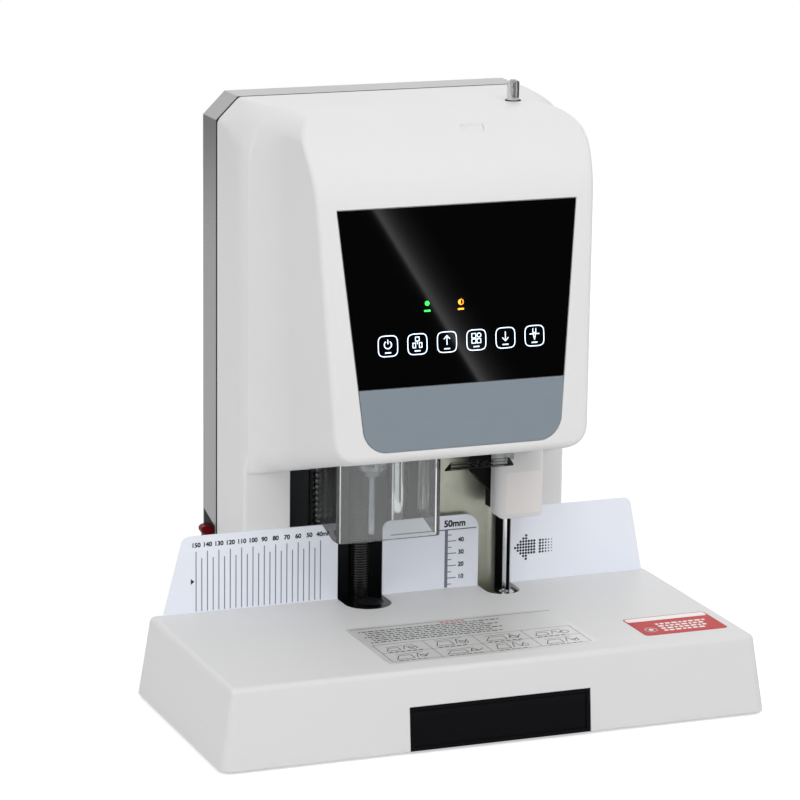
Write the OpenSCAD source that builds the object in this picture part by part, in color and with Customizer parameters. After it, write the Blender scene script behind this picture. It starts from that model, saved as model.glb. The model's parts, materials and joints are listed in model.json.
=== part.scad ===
// Electric voucher binding machine. A hollow drill bores a stack of paper
// behind a clear guard, and a hot press beside it sets a plastic tube rivet
// through the hole. One moulded cover holds both stations over a wide base.
//
// Origin: middle of the footprint, on the desk. +X is the user's right,
// +Y points away from the user, +Z is up. All lengths are in millimetres.

/* [Base] */
// Width of the base at the desk
base_w = 474; // [462:1:500]
// Width of the flat top of the base
base_top_w = 454; // [436:1:460]
// Depth of the base, from its front foot to the column
base_d = 216; // [200:1:240]
// How far the front face leans back towards the top
base_lean = 6; // [3:0.5:10]
// Height of the base top above the desk
base_h = 68; // [62:1:80]
// Wall of the base cover
base_wall = 3; // [2:0.5:4]
// Corner radius of the base, seen from above
base_corner_r = 10; // [6:1:14]
// Rounding of the top edge of the base
base_edge_r = 5; // [3:0.5:7]
// Gap under the lower edge of the covers
skirt_gap = 2; // [1:0.5:3]
// Thickness of the steel base plate
plate_t = 3; // [2:0.5:4]
// Free gap between the base plate and the covers round it
plate_gap = 1; // [0.8:0.1:2]
// Radius of a rubber foot
foot_r = 11; // [8:1:14]
// Height of the rubber feet
foot_h = 4; // [3:0.5:5]
// Distance of each foot from the edges of the base
foot_inset = 24; // [20:1:34]

/* [Column] */
// Width of the column
col_w = 290; // [284:1:300]
// Depth of the column
col_d = 106; // [100:1:120]
// Height of the machine's top above the base top
col_rise = 420; // [412:1:440]
// Sloping cut on the two top corners
col_chamfer = 19; // [12:1:24]
// Wall of the column and the head
shell_t = 3; // [2.5:0.5:4]
// Depth of the grey rear cover
rear_d = 34; // [28:1:38]
// Dark joint between the front cover and the rear cover
seam = 1.2; // [0.6:0.2:2]
// Width of the front face left standing each side of the opening
jamb_w = 41; // [38:1:42]

/* [Head] */
// How far the head's lower front edge stands in front of the column
head_reach = 127.5; // [120:0.5:136]
// Backward lean of the control face, in degrees
head_lean = 6; // [4:0.5:8]
// Radius of the rounded top front
roll_r = 73; // [60:1:80]
// Height of the lower front edge above the base top
head_clear = 149; // [144:1:156]
// Slope of the underside, in degrees
under_slope = 15; // [12:1:18]
// Half width of the control face at its lower edge
face_half = 110; // [107:0.5:112]
// Widening of the head for each millimetre of height
side_draft = 0.043; // [0.03:0.001:0.05]
// Widening of the head for each millimetre towards the column
side_flare = 0.065; // [0.05:0.005:0.08]
// Length of the hollow sweep where the head meets the column
cove_l = 44; // [30:1:50]
// Rounding of the lower side edges
low_r = 18; // [12:1:20]
// Rounding of the upright front edges
crease_r = 5; // [3:0.5:7]
// Rounding of the front edge of the underside
lip_r = 8; // [5:0.5:10]
// Lip left in front of the opening in the underside
lip_d = 26; // [20:1:30]
// Rim left at each side of the opening in the underside
rim_w = 12; // [9:1:14]

/* [Control face] */
// Half width of the glass at its upper edge
glass_top_half = 103.5; // [98:0.5:106]
// Taper of the glass for each millimetre down the face
glass_taper = 0.0967; // [0.08:0.001:0.12]
// Length of the glass down the face
glass_len = 146.5; // [140:0.5:150]
// Length of the glass and the grey trim together
face_len = 198; // [192:0.5:200]
// Distance of the glass from the top of the flat face
face_drop = 2; // [1:0.5:4]
// Radius of the lower corners of the trim
trim_r = 20; // [14:1:26]
// Thickness of the glass and the trim
glass_t = 1.5; // [1:0.1:1.8]
// Joint round the glass
glass_gap = 0.4; // [0.3:0.1:0.6]
// Thickness of the circuit board behind the glass
board_t = 1.6; // [1.2:0.2:2]

/* [Fence] */
// Thickness of the fence plates
fence_t = 1.5; // [1:0.5:2]
// Height of the outer fence plates above the base
fence_h = 66; // [60:1:70]
// Height of the middle fence plate above the base
mid_fence_h = 64; // [56:1:66]
// Distance from the fence to the middle of the punched hole
hole_margin = 14; // [12:0.5:16]
// Radius of the small top corners
fence_r = 7; // [4:1:9]
// Radius of the large top corner of the middle plate
fence_big_r = 13; // [10:1:16]

/* [Drill] */
// Distance of the drill axis left of the middle
drill_left = 37; // [33:1:40]
// Outer radius of the hollow bit
bit_r = 2.7; // [2:0.1:3.5]
// Bore radius of the hollow bit
bit_bore = 2; // [1.3:0.1:2]
// Height of the bit's edge above its pad, at rest
bit_gap = 59; // [56:0.5:62]
// Free length of the bit below the chuck
bit_free = 51; // [50:0.5:52]
// Distance of each guide rod from the drill axis
rod_span = 35.5; // [34:0.5:38]
// Radius of the two guide rods
rod_r = 8; // [6:0.5:9]
// Distance of the guide rods behind the column front
rod_back = 19; // [17:0.5:22]
// Height of the sliding carriage
carriage_h = 45; // [40:1:48]
// Outer radius of the paper chip hose
hose_r = 9.2; // [8.5:0.1:10]
// Distance between the ribs of the hose
hose_pitch = 2.2; // [2:0.1:3]
// Outer radius of the drill spindle
spindle_r = 7; // [6:0.5:8]
// Radius of the feed screw
feed_screw_r = 5; // [4:0.5:6]
// Radius of the replaceable drill pad
pad_r = 11; // [8:0.5:14]

/* [Drill guard] */
// Thickness of the clear sheet
guard_t = 2.5; // [2:0.5:3.5]
// Outer width of the guard
guard_w = 92; // [90:1:96]
// Depth of the guard
guard_d = 49; // [46:1:52]
// Height of the guard's lower edge above the base
guard_clear = 62; // [60:1:66]
// Height of the guard
guard_h = 99; // [96:1:102]
// Bend radius of the guard's upright corners
guard_r = 6; // [4:0.5:8]

/* [Rivet press] */
// Distance of the rivet axis right of the middle
rivet_right = 85; // [82:1:87]
// Radius of the guide needle
needle_r = 1.7; // [1.2:0.1:1.9]
// Radius of the chrome knob on the needle
knob_r = 5.1; // [4:0.1:6]
// Height of the knob above the top cover
knob_rise = 17; // [12:0.5:22]
// Radius of the rivet dies
die_r = 6; // [5:0.5:7]
// Height of the upper die's face above the lower die, at rest
die_gap = 71; // [68:0.5:73]
// Space left between the dies at full stroke
die_rest = 4.5; // [3:0.5:8]
// Radius of the press guide posts
post_r = 5; // [4:0.5:5.5]
// Distance of each post from the rivet axis
post_span = 19; // [17:0.5:20]
// Radius of the press screw
press_screw_r = 4; // [3:0.5:4.5]
// Width of the moulded shield over the hot head
shield_w = 44; // [42:1:46]
// Height of the shield's lower edge above the base
shield_clear = 67; // [64:0.5:70]
// Radius of the shield's edges
shield_r = 7; // [4:0.5:8]

/* [Scrap drawer] */
// Width of the drawer front
drawer_w = 156; // [148:1:160]
// Height of the drawer front
drawer_h = 36; // [34:1:37]
// Wall of the drawer
drawer_t = 2; // [1.5:0.5:2.5]
// How far the drawer pulls out
drawer_pull = 110; // [80:1:130]

/* [Fits] */
// Radial running clearance of shafts and slides
run = 0.05; // [0.02:0.01:0.08]
// Clearance between pieces that pass each other
gap = 0.5; // [0.4:0.1:0.8]

/* [Hidden] */
$fn = 64;
EPS = 0.01;

// Overall places
front_y = -(base_d + col_d) / 2;
col_y = front_y + base_d;
rear_y = col_y + col_d;
fence_y = col_y - fence_t;
axis_y = fence_y - hole_margin;
seam_y = rear_y - rear_d - seam;
col_half = col_w / 2;
top_z = base_h + col_rise;
plate_z = foot_h + plate_t;
drill_x = -drill_left;
rivet_x = rivet_right;

// Side outline of the head: a roll, a leaning face and a sloping underside
face_y = col_y - head_reach;
face_z = base_h + head_clear;
roll_z = top_z - roll_r;
lean_rise = roll_z + roll_r * sin(head_lean) - face_z;
edge_y = face_y + lean_rise * tan(head_lean);
edge_z = face_z + lean_rise;
roll_y = edge_y + roll_r * cos(head_lean);

// Drill heights, from the pad up
pad_z = base_h - 1;
bit_z = pad_z + bit_gap;
chuck_z = bit_z + bit_free;
feed_travel = bit_gap - gap;
chuck_h = 34;
housing_h = 40;
carriage_z = chuck_z + chuck_h + housing_h + 48;
carriage_top = carriage_z + carriage_h;
rod_y = col_y + rod_back;
hose_y = col_y + 12.5;
screw_y = hose_y + hose_r + 14;
lower_z = carriage_z - feed_travel - 10;
bracket_t = 8;
upper_z = carriage_top + 52;
frame_y = screw_y + 23;
pulley_h = 12;
belt_t = 1.5;
spindle_pulley_r = 13;
motor_pulley_r = 9;
motor_x = drill_x + 72;
motor_y = axis_y - 4.5;
hood_z = carriage_top + pulley_h + 6;
spout_r = 7;
hose_wall = 1.4;
hose_top = lower_z - 4;
spout_z = hose_top - 10;

// Press heights, from the lower die up
die_z = base_h - 3;
upper_die_z = die_z + die_gap;
press_travel = die_gap - die_rest;
arm_z = upper_die_z + 8;
slide_z = upper_die_z + press_travel + 68;
slide_h = 40;
press_low_z = slide_z - press_travel - 10;
press_top_z = slide_z + slide_h + 92;
post_y = axis_y + 11.5;
press_screw_y = axis_y + 13.5;
channel_y = col_y + 5;
press_pulley_r = 9;
press_motor_y = channel_y + 27;
belt_z = press_top_z + 9;

// Fence and notches
left_gap = [drill_x - 24.5, drill_x + 16];
right_gap = [rivet_x - 18.5, rivet_x + 11.5];

// Ring of the head at height z, drawn inside the outer skin by t
function under_z(y, t) = face_z + t - (y - face_y) * tan(under_slope);
function arc_in(r, d) = d >= r ? 0 : r - sqrt(max(0, r * r - pow(r - max(d, 0), 2)));
function lip_c(t) =
    let (
        r = lip_r - t,
        a = head_lean,
        b = under_slope,
        n = [[-cos(a), sin(a)], [-sin(b), -cos(b)]],
        k = [
            n[0] * [face_y, face_z] - t - r,
            n[1] * [face_y, face_z] - t - r
        ],
        det = n[0].x * n[1].y - n[0].y * n[1].x
    )
    [(k[0] * n[1].y - k[1] * n[0].y) / det, (n[0].x * k[1] - n[1].x * k[0]) / det];
function front_at(z, t) =
    let (c = lip_c(t), r = lip_r - t)
    z > roll_z + (roll_r - t) * sin(head_lean)
        ? roll_y - sqrt(max(0, pow(roll_r - t, 2) - pow(z - roll_z, 2)))
    : z > c.y + r * sin(head_lean)
        ? edge_y + t / cos(head_lean) - (edge_z - z) * tan(head_lean)
    : z > c.y - r * cos(under_slope)
        ? c.x - sqrt(max(0, r * r - pow(z - c.y, 2)))
    : face_y + (face_z + t / cos(under_slope) - z) / tan(under_slope);
function flank_at(y, z, t) =
    let (
        plain = face_half + side_draft * (z - face_z) + side_flare * (y - face_y),
        u = min(1, max(0, (y - col_y - t + cove_l) / cove_l)),
        sweep = (col_half - plain) * (1 - sqrt(1 - u * u)),
        limit = col_half - max(0, z - (top_z - col_chamfer))
    )
    min(plain + sweep, limit) - t;
function ring_half(y, z, t) =
    flank_at(y, z, t)
    - arc_in(low_r - t, (z - under_z(y, t)) * cos(under_slope))
    - arc_in(crease_r, y - front_at(z, t))
    - arc_in(4, top_z - t - z);
SPREAD = [0, 0.03, 0.06, 0.1, 0.15, 0.21, 0.28, 0.37, 0.5, 0.64, 0.77, 0.87, 0.94, 0.98, 1];
function ring(z, t) =
    let (
        back = col_y + shell_t + t,
        nose = front_at(z, t),
        n = len(SPREAD) - 1,
        ys = [for (f = SPREAD) back + (nose - back) * f]
    )
    concat(
        [for (i = [0:n]) [-ring_half(ys[i], z, t), ys[i], z]],
        [for (i = [n:-1:0]) [ring_half(ys[i], z, t), ys[i], z]]
    );
function head_levels(t, n) =
    let (
        c = lip_c(t),
        low = under_z(col_y - 4, t),
        sharp = c.y - (lip_r - t) * cos(under_slope)
    )
    concat(
        [for (i = [0:n]) low + (sharp - low) * i / n],
        [for (i = [1:4]) sharp + (lip_r - t) * 1.02 * i / 4],
        [for (h = [low_r * 0.75, low_r * 1.3]) face_z + t + h],
        [edge_z - 90],
        [for (a = [head_lean : (88 - head_lean) / (2 * n) : 88.01]) roll_z + (roll_r - t) * sin(a)],
        [top_z - t]
    );

// Closed skin through a stack of rings with equal counts of points
module loft(rings) {
    m = len(rings[0]);
    last = len(rings) - 1;
    polyhedron(
        points = [for (r = rings) each r],
        faces = concat(
            [for (i = [0:m / 2 - 2]) [i, i + 1, m - 2 - i, m - 1 - i]],
            [for (k = [0:last - 1], i = [0:m - 1])
                [k * m + i, (k + 1) * m + i, (k + 1) * m + (i + 1) % m, k * m + (i + 1) % m]],
            [for (i = [0:m / 2 - 2])
                [last * m + i, last * m + m - 1 - i, last * m + m - 2 - i, last * m + i + 1]]
        ),
        convexity = 8
    );
}

module head_form(t, n) {
    loft([for (z = head_levels(t, n)) ring(z, t)]);
}

// Upright slab of the column, drawn inside the outer skin by t
module column_form(t, y0, y1) {
    w = col_half - t;
    c = col_chamfer - t * tan(22.5);
    translate([0, y1, 0])
        rotate([90, 0, 0])
            linear_extrude(y1 - y0)
                polygon([
                    [-w, skirt_gap], [w, skirt_gap], [w, top_z - t - c],
                    [w - c, top_z - t], [c - w, top_z - t], [-w, top_z - t - c]
                ]);
}

// Coordinates of the leaning control face: X across, Z up the face, Y inward
module on_face() {
    translate([0, edge_y, edge_z])
        rotate([-head_lean, 0, 0])
            children();
}

function face_w(s) = glass_top_half - glass_taper * s;

// Rounded box with its upright edges at radius r
module rounded_box(w, d, h, r) {
    linear_extrude(h)
        union() {
            translate([r, 0]) square([w - 2 * r, d]);
            translate([0, r]) square([w, d - 2 * r]);
            for (x = [r, w - r], y = [r, d - r])
                translate([x, y]) circle(r);
        }
}

module tube(r_out, r_in, h) {
    difference() {
        cylinder(r = r_out, h = h);
        translate([0, 0, -1]) cylinder(r = r_in, h = h + 2);
    }
}

// Belt round two pulleys that stand a distance apart along the given turn
module belt(r1, r2, span, turn, h) {
    rotate([0, 0, turn])
        linear_extrude(h)
            difference() {
                belt_outline(r1 + belt_t, r2 + belt_t, span);
                belt_outline(r1, r2, span);
            }
}
module belt_outline(r1, r2, span) {
    a = acos((r1 - r2) / span);
    polygon(concat(
        [for (i = [0:24]) r1 * [cos(a + (360 - 2 * a) * i / 24), sin(a + (360 - 2 * a) * i / 24)]],
        [for (i = [0:16]) [span, 0] + r2 * [cos(-a + 2 * a * i / 16), sin(-a + 2 * a * i / 16)]]
    ));
}

// ---- Base -------------------------------------------------------------

foot_spots = [
    [-base_w / 2 + foot_inset, front_y + foot_inset],
    [base_w / 2 - foot_inset, front_y + foot_inset],
    [-base_w / 2 + foot_inset, col_y - foot_inset],
    [base_w / 2 - foot_inset, col_y - foot_inset],
    [-col_half + foot_inset, rear_y - foot_inset],
    [col_half - foot_inset, rear_y - foot_inset]
];

module base_plate() {
    edge = base_wall + 2 * plate_gap;
    color("silver")
        translate([0, 0, foot_h])
            difference() {
                union() {
                    translate([-base_w / 2 + edge, front_y + edge, 0])
                        cube([base_w - 2 * edge, base_d - edge - base_wall - plate_gap, plate_t]);
                    translate([-col_half + shell_t + plate_gap, col_y - 10, 0])
                        cube([col_w - 2 * (shell_t + plate_gap), col_d - shell_t - plate_gap + 10, plate_t]);
                }
                for (p = foot_spots)
                    translate([p.x, p.y, -1]) cylinder(r = 2.2, h = plate_t + 2);
                translate([-drawer_w / 2 - 1, front_y, -1]) cube([drawer_w + 2, 10, plate_t + 2]);
            }
}

module rubber_feet() {
    color([0.12, 0.12, 0.13])
        for (p = foot_spots)
            translate([p.x, p.y, 0]) {
                difference() {
                    cylinder(r1 = foot_r - 1, r2 = foot_r, h = foot_h);
                    translate([0, 0, -1]) cylinder(r = 4, h = 2.5);
                }
                translate([0, 0, foot_h - EPS]) cylinder(r = 2.1, h = plate_t - 0.5);
            }
}

// Tapered body of the base, drawn inside the outer skin by t
module base_form(t, drop) {
    r = base_corner_r - t;
    e = base_edge_r;
    x0 = base_w / 2 - base_corner_r;
    x1 = base_top_w / 2 - e - t;
    y0 = front_y + base_corner_r;
    y1 = front_y + base_lean + e + t;
    back = col_y - t;
    hull() {
        for (side = [-1, 1]) {
            translate([side * x0, y0, skirt_gap - drop]) cylinder(r = r, h = 1, $fn = 32);
            translate([side * x1, y1, base_h - t - e]) sphere(r = e, $fn = 32);
            translate([side * (x0 + r - 1), back - 1, skirt_gap + 0.5 - drop]) cube([2, 2, 1], center = true);
            translate([side * x1, back - 1, base_h - t - e]) rotate([90, 0, 0])
                cylinder(r = e, h = 2, center = true, $fn = 32);
        }
    }
}

// U-shaped notch that opens at the fence
module notch(x0, x1, h) {
    r = (x1 - x0) / 2;
    depth = hole_margin + r + 4;
    translate([x0, fence_y - depth + r, 0]) cube([2 * r, depth - r + 20, h]);
    translate([x0 + r, fence_y - depth + r, 0]) cylinder(r = r, h = h);
}

post_inset = 22.5;

// Posts that carry the top of the base cover
module cover_posts() {
    color("silver")
        for (side = [-1, 1], y = [front_y + base_lean + post_inset + 9, col_y - post_inset - 4])
            translate([side * (base_top_w / 2 - post_inset), y, plate_z])
                cylinder(r = 5, h = base_h - base_wall - plate_z);
}

module base_cover() {
    color([0.93, 0.93, 0.93])
        difference() {
            base_form(0, 0);
            base_form(base_wall, 1);
            translate([0, 0, base_h - 20]) notch(left_gap[0], left_gap[1], 30);
            translate([0, 0, base_h - 20]) notch(right_gap[0], right_gap[1], 30);
            translate([-drawer_w / 2 - gap, front_y - 10, 0])
                cube([drawer_w + 2 * gap, 40, drawer_h + 2 + gap]);
            translate([-col_half + shell_t, col_y - 20, 0]) cube([col_w - 2 * shell_t, 40, base_h - 8]);
        }
}

module fence_outline(pts, h) {
    translate([0, fence_y + fence_t, base_h])
        rotate([90, 0, 0])
            linear_extrude(fence_t)
                children();
}

module left_fence_plate() {
    x0 = -base_top_w / 2 + 11.5;
    x1 = left_gap[0];
    slant = 17.5;
    color([0.82, 0.84, 0.9])
        fence_outline()
            union() {
                polygon([
                    [x0, 0], [x1, 0], [x1, fence_h - fence_r],
                    [x1 - fence_r, fence_h], [x0 + slant + fence_r, fence_h],
                    [x0 + slant * (1 - fence_r / fence_h) - 0.1, fence_h - fence_r]
                ]);
                translate([x1 - fence_r, fence_h - fence_r]) circle(fence_r);
                translate([x0 + slant + fence_r - 1.8, fence_h - fence_r]) circle(fence_r);
            }
}

module middle_fence_plate() {
    x0 = left_gap[1];
    x1 = right_gap[0];
    color([0.82, 0.84, 0.9])
        fence_outline()
            union() {
                polygon([
                    [x0, 0], [x1, 0], [x1, mid_fence_h - fence_big_r],
                    [x1 - fence_big_r, mid_fence_h], [x0 + fence_r, mid_fence_h], [x0, mid_fence_h - fence_r]
                ]);
                translate([x0 + fence_r, mid_fence_h - fence_r]) circle(fence_r);
                translate([x1 - fence_big_r, mid_fence_h - fence_big_r]) circle(fence_big_r);
            }
}

module right_fence_plate() {
    x0 = right_gap[1];
    x1 = base_top_w / 2 - 6;
    slant = 13;
    color([0.82, 0.84, 0.9])
        fence_outline()
            union() {
                polygon([
                    [x0, 0], [x1, 0], [x1 - slant * (1 - fence_r / fence_h) + 0.1, fence_h - fence_r],
                    [x1 - slant - fence_r, fence_h], [x0 + fence_r, fence_h], [x0, fence_h - fence_r]
                ]);
                translate([x0 + fence_r, fence_h - fence_r]) circle(fence_r);
                translate([x1 - slant - fence_r + 1.3, fence_h - fence_r]) circle(fence_r);
            }
}

// ---- Front cover and rear cover ---------------------------------------

module front_cover() {
    color([0.94, 0.94, 0.94])
        difference() {
            union() {
                head_form(0, 8);
                column_form(0, col_y, seam_y);
            }
            head_form(shell_t, 8);
            column_form(shell_t, col_y + shell_t, seam_y + 10);
            translate([-col_half + shell_t, col_y - 1, -1])
                cube([col_w - 2 * shell_t, col_d, plate_z + 1]);
            translate([-col_half + jamb_w, col_y - 3, -1])
                cube([col_w - 2 * jamb_w, 10, under_z(col_y, 0) + 4]);
            under_opening();
            translate([rivet_x, axis_y, top_z - 20]) cylinder(r = knob_r + gap, h = 40);
            scoop();
            face_recess();
        }
}

// Opening in the underside of the head, between the lip and the rims
module under_opening() {
    x1 = face_half - rim_w;
    y0 = face_y + lip_d;
    depth = col_y + 2 - y0;
    translate([0, y0, under_z(y0, 0)])
        rotate([-under_slope, 0, 0])
            translate([-x1, 0, -20]) cube([2 * x1, depth / cos(under_slope), 34]);
}

// Finger scoop in the top, at the start of the roll
module scoop() {
    translate([20.5, roll_y, top_z - 1.6])
        linear_extrude(10)
            intersection() {
                circle(9);
                translate([-20, -40]) square([40, 44]);
            }
}

rocker_d = 22;
rocker_h = 24;
rocker_y = rear_y - 16;
rocker_z = base_h + 38;

// Outline of the switch bezel, seen from the side and grown by g
module bezel_outline(g) {
    y0 = seam_y + seam + 3 - g;
    y1 = rear_y - 2 + g;
    z0 = rocker_z - rocker_h / 2 - 2 - g;
    polygon([[y0, z0], [y1, z0], [y1, z0 + 36 + 2 * g], [y0, z0 + 27 + 2 * g]]);
}

// Dark gasket that closes the seam and ties the two covers together
module seam_gasket() {
    color([0.06, 0.06, 0.07])
        difference() {
            column_form(1, seam_y, seam_y + seam);
            column_form(shell_t + 4, seam_y - 5, rear_y);
            translate([-col_half + shell_t + 4, seam_y - 5, -1])
                cube([col_w - 2 * shell_t - 8, 20, 30]);
            translate([-300, seam_y - 5, 0]) cube([600, 20, plate_z + 1]);
        }
}

module rocker_opening(g) {
    translate([-col_half - 1, 0, 0])
        rotate([90, 0, 90]) linear_extrude(shell_t + 2) bezel_outline(g);
}

inlet_x = 70;
inlet_z = 46;

module rear_cover() {
    y0 = seam_y + seam;
    back = rear_y - shell_t;
    color([0.62, 0.64, 0.67])
        difference() {
            column_form(0, y0, rear_y);
            column_form(shell_t, y0 - 5, back);
            translate([-col_half + shell_t, y0 - 5, -1])
                cube([col_w - 2 * shell_t, back - y0 + 5, 10]);
            rocker_opening(0.2);
            translate([inlet_x - 14.2, back - 1, inlet_z - 10.2]) cube([28.4, shell_t + 2, 20.4]);
            for (x = [-70 : 10 : 70])
                translate([x - 1.5, back - 1, 360]) cube([3, shell_t + 2, 60]);
            for (x = [-1, 1], z = [24, 250, 460])
                translate([x * 124, rear_y + 1, z]) rotate([90, 0, 0]) cylinder(r = 2.1, h = shell_t + 2);
        }
}

module cover_screws() {
    color("silver")
        for (x = [-1, 1], z = [24, 250, 460])
            translate([x * 124, rear_y, z])
                rotate([90, 0, 0])
                    difference() {
                        union() {
                            translate([0, 0, EPS]) cylinder(r = 2, h = 12);
                            translate([0, 0, 0.2]) cylinder(r1 = 2, r2 = 2, h = 2);
                        }
                        translate([-0.5, -1.6, -0.1]) cube([1, 3.2, 1.2]);
                        translate([-1.6, -0.5, -0.1]) cube([3.2, 1, 1.2]);
                    }
}

module switch_bezel() {
    color([0.1, 0.1, 0.1])
        difference() {
            union() {
                translate([-col_half + 0.2, 0, 0])
                    rotate([90, 0, 90]) linear_extrude(3) bezel_outline(0);
                translate([-col_half + 1, rocker_y - rocker_d / 2, rocker_z - rocker_h / 2])
                    cube([20, rocker_d, rocker_h]);
            }
            translate([-col_half - 2, rocker_y - rocker_d / 2 + 1.4, rocker_z - rocker_h / 2 + 1.4])
                cube([18, rocker_d - 2.8, rocker_h - 2.8]);
            translate([rocker_pin_x, rocker_y, rocker_z])
                rotate([90, 0, 0]) cylinder(r = pin_r + run, h = rocker_d - 0.6, center = true);
        }
}

rocker_pin_x = -col_half + 4;
rocker_tilt = 7;
pin_r = 1.5;

// Rocker with two sloping halves, tipped to one side at rest
module power_rocker() {
    l = rocker_h - 2.8 - 1.4;
    w = rocker_d - 2.8 - 0.6;
    color([0.75, 0.05, 0.05])
        translate([rocker_pin_x, rocker_y + w / 2, rocker_z])
            rotate([0, rocker_tilt, 0])
                rotate([90, 0, 0]) {
                    linear_extrude(w)
                        polygon([
                            [-6.6, -l / 2], [-5.4, -l / 6], [-5.4, l / 6], [-6.6, l / 2],
                            [-1.4, l / 2], [3, 3], [3, -3], [-1.4, -l / 2]
                        ]);
                    translate([0, 0, -1]) cylinder(r = pin_r, h = w + 2);
                }
}

module power_inlet() {
    color([0.1, 0.1, 0.1])
        translate([inlet_x, rear_y, inlet_z])
            rotate([90, 0, 0])
                difference() {
                    union() {
                        translate([-14, -10, 0.3]) cube([28, 20, 24]);
                        translate([-17, -13, shell_t + 0.05]) cube([34, 26, 2]);
                    }
                    difference() {
                        translate([-12, -8, -1]) cube([24, 16, 18]);
                        for (x = [-7, 0, 7])
                            translate([x - 1, (x == 0 ? 2 : -3), 2]) cube([2, 4, 20]);
                    }
                }
}

// ---- Control face -----------------------------------------------------

// Seat for the glass and the trim, sunk in the face
module face_recess() {
    on_face()
        translate([0, glass_t + 0.02, 0])
            rotate([90, 0, 0])
                linear_extrude(glass_t + 5)
                    trim_shape(glass_gap);
}

module panel_glass() {
    color([0.03, 0.03, 0.04])
        on_face()
            translate([0, glass_t, 0])
                rotate([90, 0, 0])
                    linear_extrude(glass_t)
                        polygon([
                            [-face_w(face_drop), -face_drop], [face_w(face_drop), -face_drop],
                            [face_w(glass_len), -glass_len], [-face_w(glass_len), -glass_len]
                        ]);
}

module panel_trim() {
    color([0.53, 0.57, 0.61])
        on_face()
            translate([0, glass_t, 0])
                rotate([90, 0, 0])
                    linear_extrude(glass_t)
                        difference() {
                            trim_shape(0);
                            translate([-200, -glass_len - glass_gap]) square([400, 400]);
                        }
}

// Outline of the glass and trim together, grown by g
module trim_shape(g) {
    s = face_len + g;
    r = trim_r + g;
    top = face_drop - g;
    union() {
        translate([-face_w(s - r) - g + r, -s]) square([2 * (face_w(s - r) + g - r), r + 1]);
        polygon([
            [-face_w(top) - g, -top], [face_w(top) + g, -top],
            [face_w(s - r) + g, -s + r], [-face_w(s - r) - g, -s + r]
        ]);
        for (side = [-1, 1])
            translate([side * (face_w(s - r) + g - r), -s + r]) circle(r);
    }
}

module control_board() {
    color([0.05, 0.3, 0.15])
        on_face()
            translate([-80, shell_t + 6, -128]) cube([160, board_t, 112]);
    color("silver")
        on_face()
            for (x = [-72, 72], z = [-120, -24])
                translate([x, shell_t, z]) rotate([-90, 0, 0]) cylinder(r = 3, h = 6);
}

// ---- Guard and shield -------------------------------------------------

guard_y = fence_y - gap - guard_d;
guard_z = base_h + guard_clear;
guard_x = drill_x + 3.5;
hanger_z = guard_z + guard_h - 16;
clip_y = axis_y + 7.5;

module drill_guard() {
    cut = 12;
    color([0.85, 0.9, 0.92, 0.4])
        difference() {
            translate([guard_x - guard_w / 2, guard_y, guard_z])
                difference() {
                    rounded_box(guard_w, guard_d + 20, guard_h, guard_r);
                    translate([guard_t, guard_t, -1])
                        rounded_box(guard_w - 2 * guard_t, guard_d + 40, guard_h + 2, guard_r - guard_t);
                    translate([-1, guard_d, -1]) cube([guard_w + 2, 30, guard_h + 2]);
                }
            translate([guard_x - 100, 0, 0])
                rotate([90, 0, 90])
                    linear_extrude(200)
                        polygon([[fence_y - 38, guard_z - 1], [60, guard_z - 1], [60, guard_z + cut]]);
            for (side = [-1, 1])
                translate([guard_x + side * guard_w / 2, clip_y, guard_z + guard_h - 8])
                    rotate([0, 90, 0]) cylinder(r = 2.1, h = 20, center = true);
        }
}

// Two bent brackets that hold the guard from the drill's slide bracket
module guard_hanger() {
    t = 2;
    back = rod_y - rod_r - 5;
    color([0.2, 0.2, 0.22])
        for (side = [-1, 1])
            translate([guard_x + side * (guard_w / 2 + 0.05), 0, 0])
                mirror([side < 0 ? 1 : 0, 0, 0]) {
                    difference() {
                        translate([0, axis_y - 8, hanger_z]) cube([t, back - axis_y + 8, 26]);
                        translate([-1, clip_y, hanger_z + 8]) rotate([0, 90, 0]) cylinder(r = 2.05, h = t + 2);
                    }
                    translate([-8, back - t, hanger_z + 16]) cube([8 + t, t, 10]);
                    translate([-guard_t - 1.6, clip_y, hanger_z + 8]) rotate([0, 90, 0])
                        cylinder(r = 2, h = guard_t + t + 3);
                    translate([t, clip_y, hanger_z + 8]) rotate([0, 90, 0]) cylinder(r = 3.6, h = 2);
                    translate([-guard_t - 1.7, clip_y, hanger_z + 8]) rotate([0, 90, 0])
                        cylinder(r = 3.6, h = 1.6);
                }
}

shield_y = axis_y - 21.5;
shield_z = base_h + shield_clear;
shield_x = rivet_x - 17;
shield_h = 62;

// Moulded white shield: a front wall and two short sides round the hot head
module rivet_shield() {
    w = 2.5;
    depth = 14;
    color([0.94, 0.94, 0.94])
        difference() {
            translate([shield_x, shield_y, shield_z])
                difference() {
                    rounded_box(shield_w, depth + 20, shield_h, shield_r);
                    translate([w, w, -1])
                        rounded_box(shield_w - 2 * w, depth + 30, shield_h + 2, shield_r - w);
                    translate([-1, depth, -1]) cube([shield_w + 2, 40, shield_h + 2]);
                }
            translate([face_half - rim_w - gap, face_y, face_z])
                rotate([-under_slope, 0, 0]) cube([60, 200, 80]);
            translate([shield_x, 0, shield_z]) foot_round();
            translate([2 * shield_x + shield_w, 0, 0]) mirror([1, 0, 0])
                translate([shield_x, 0, shield_z]) foot_round();
        }
}

// Cutter that rounds a lower corner of the shield
module foot_round() {
    r = shield_r;
    difference() {
        translate([-1, shield_y - 1, -1]) cube([r + 1, 60, r + 1]);
        translate([r, shield_y - 2, r]) rotate([-90, 0, 0]) cylinder(r = r, h = 64);
    }
}

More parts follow.
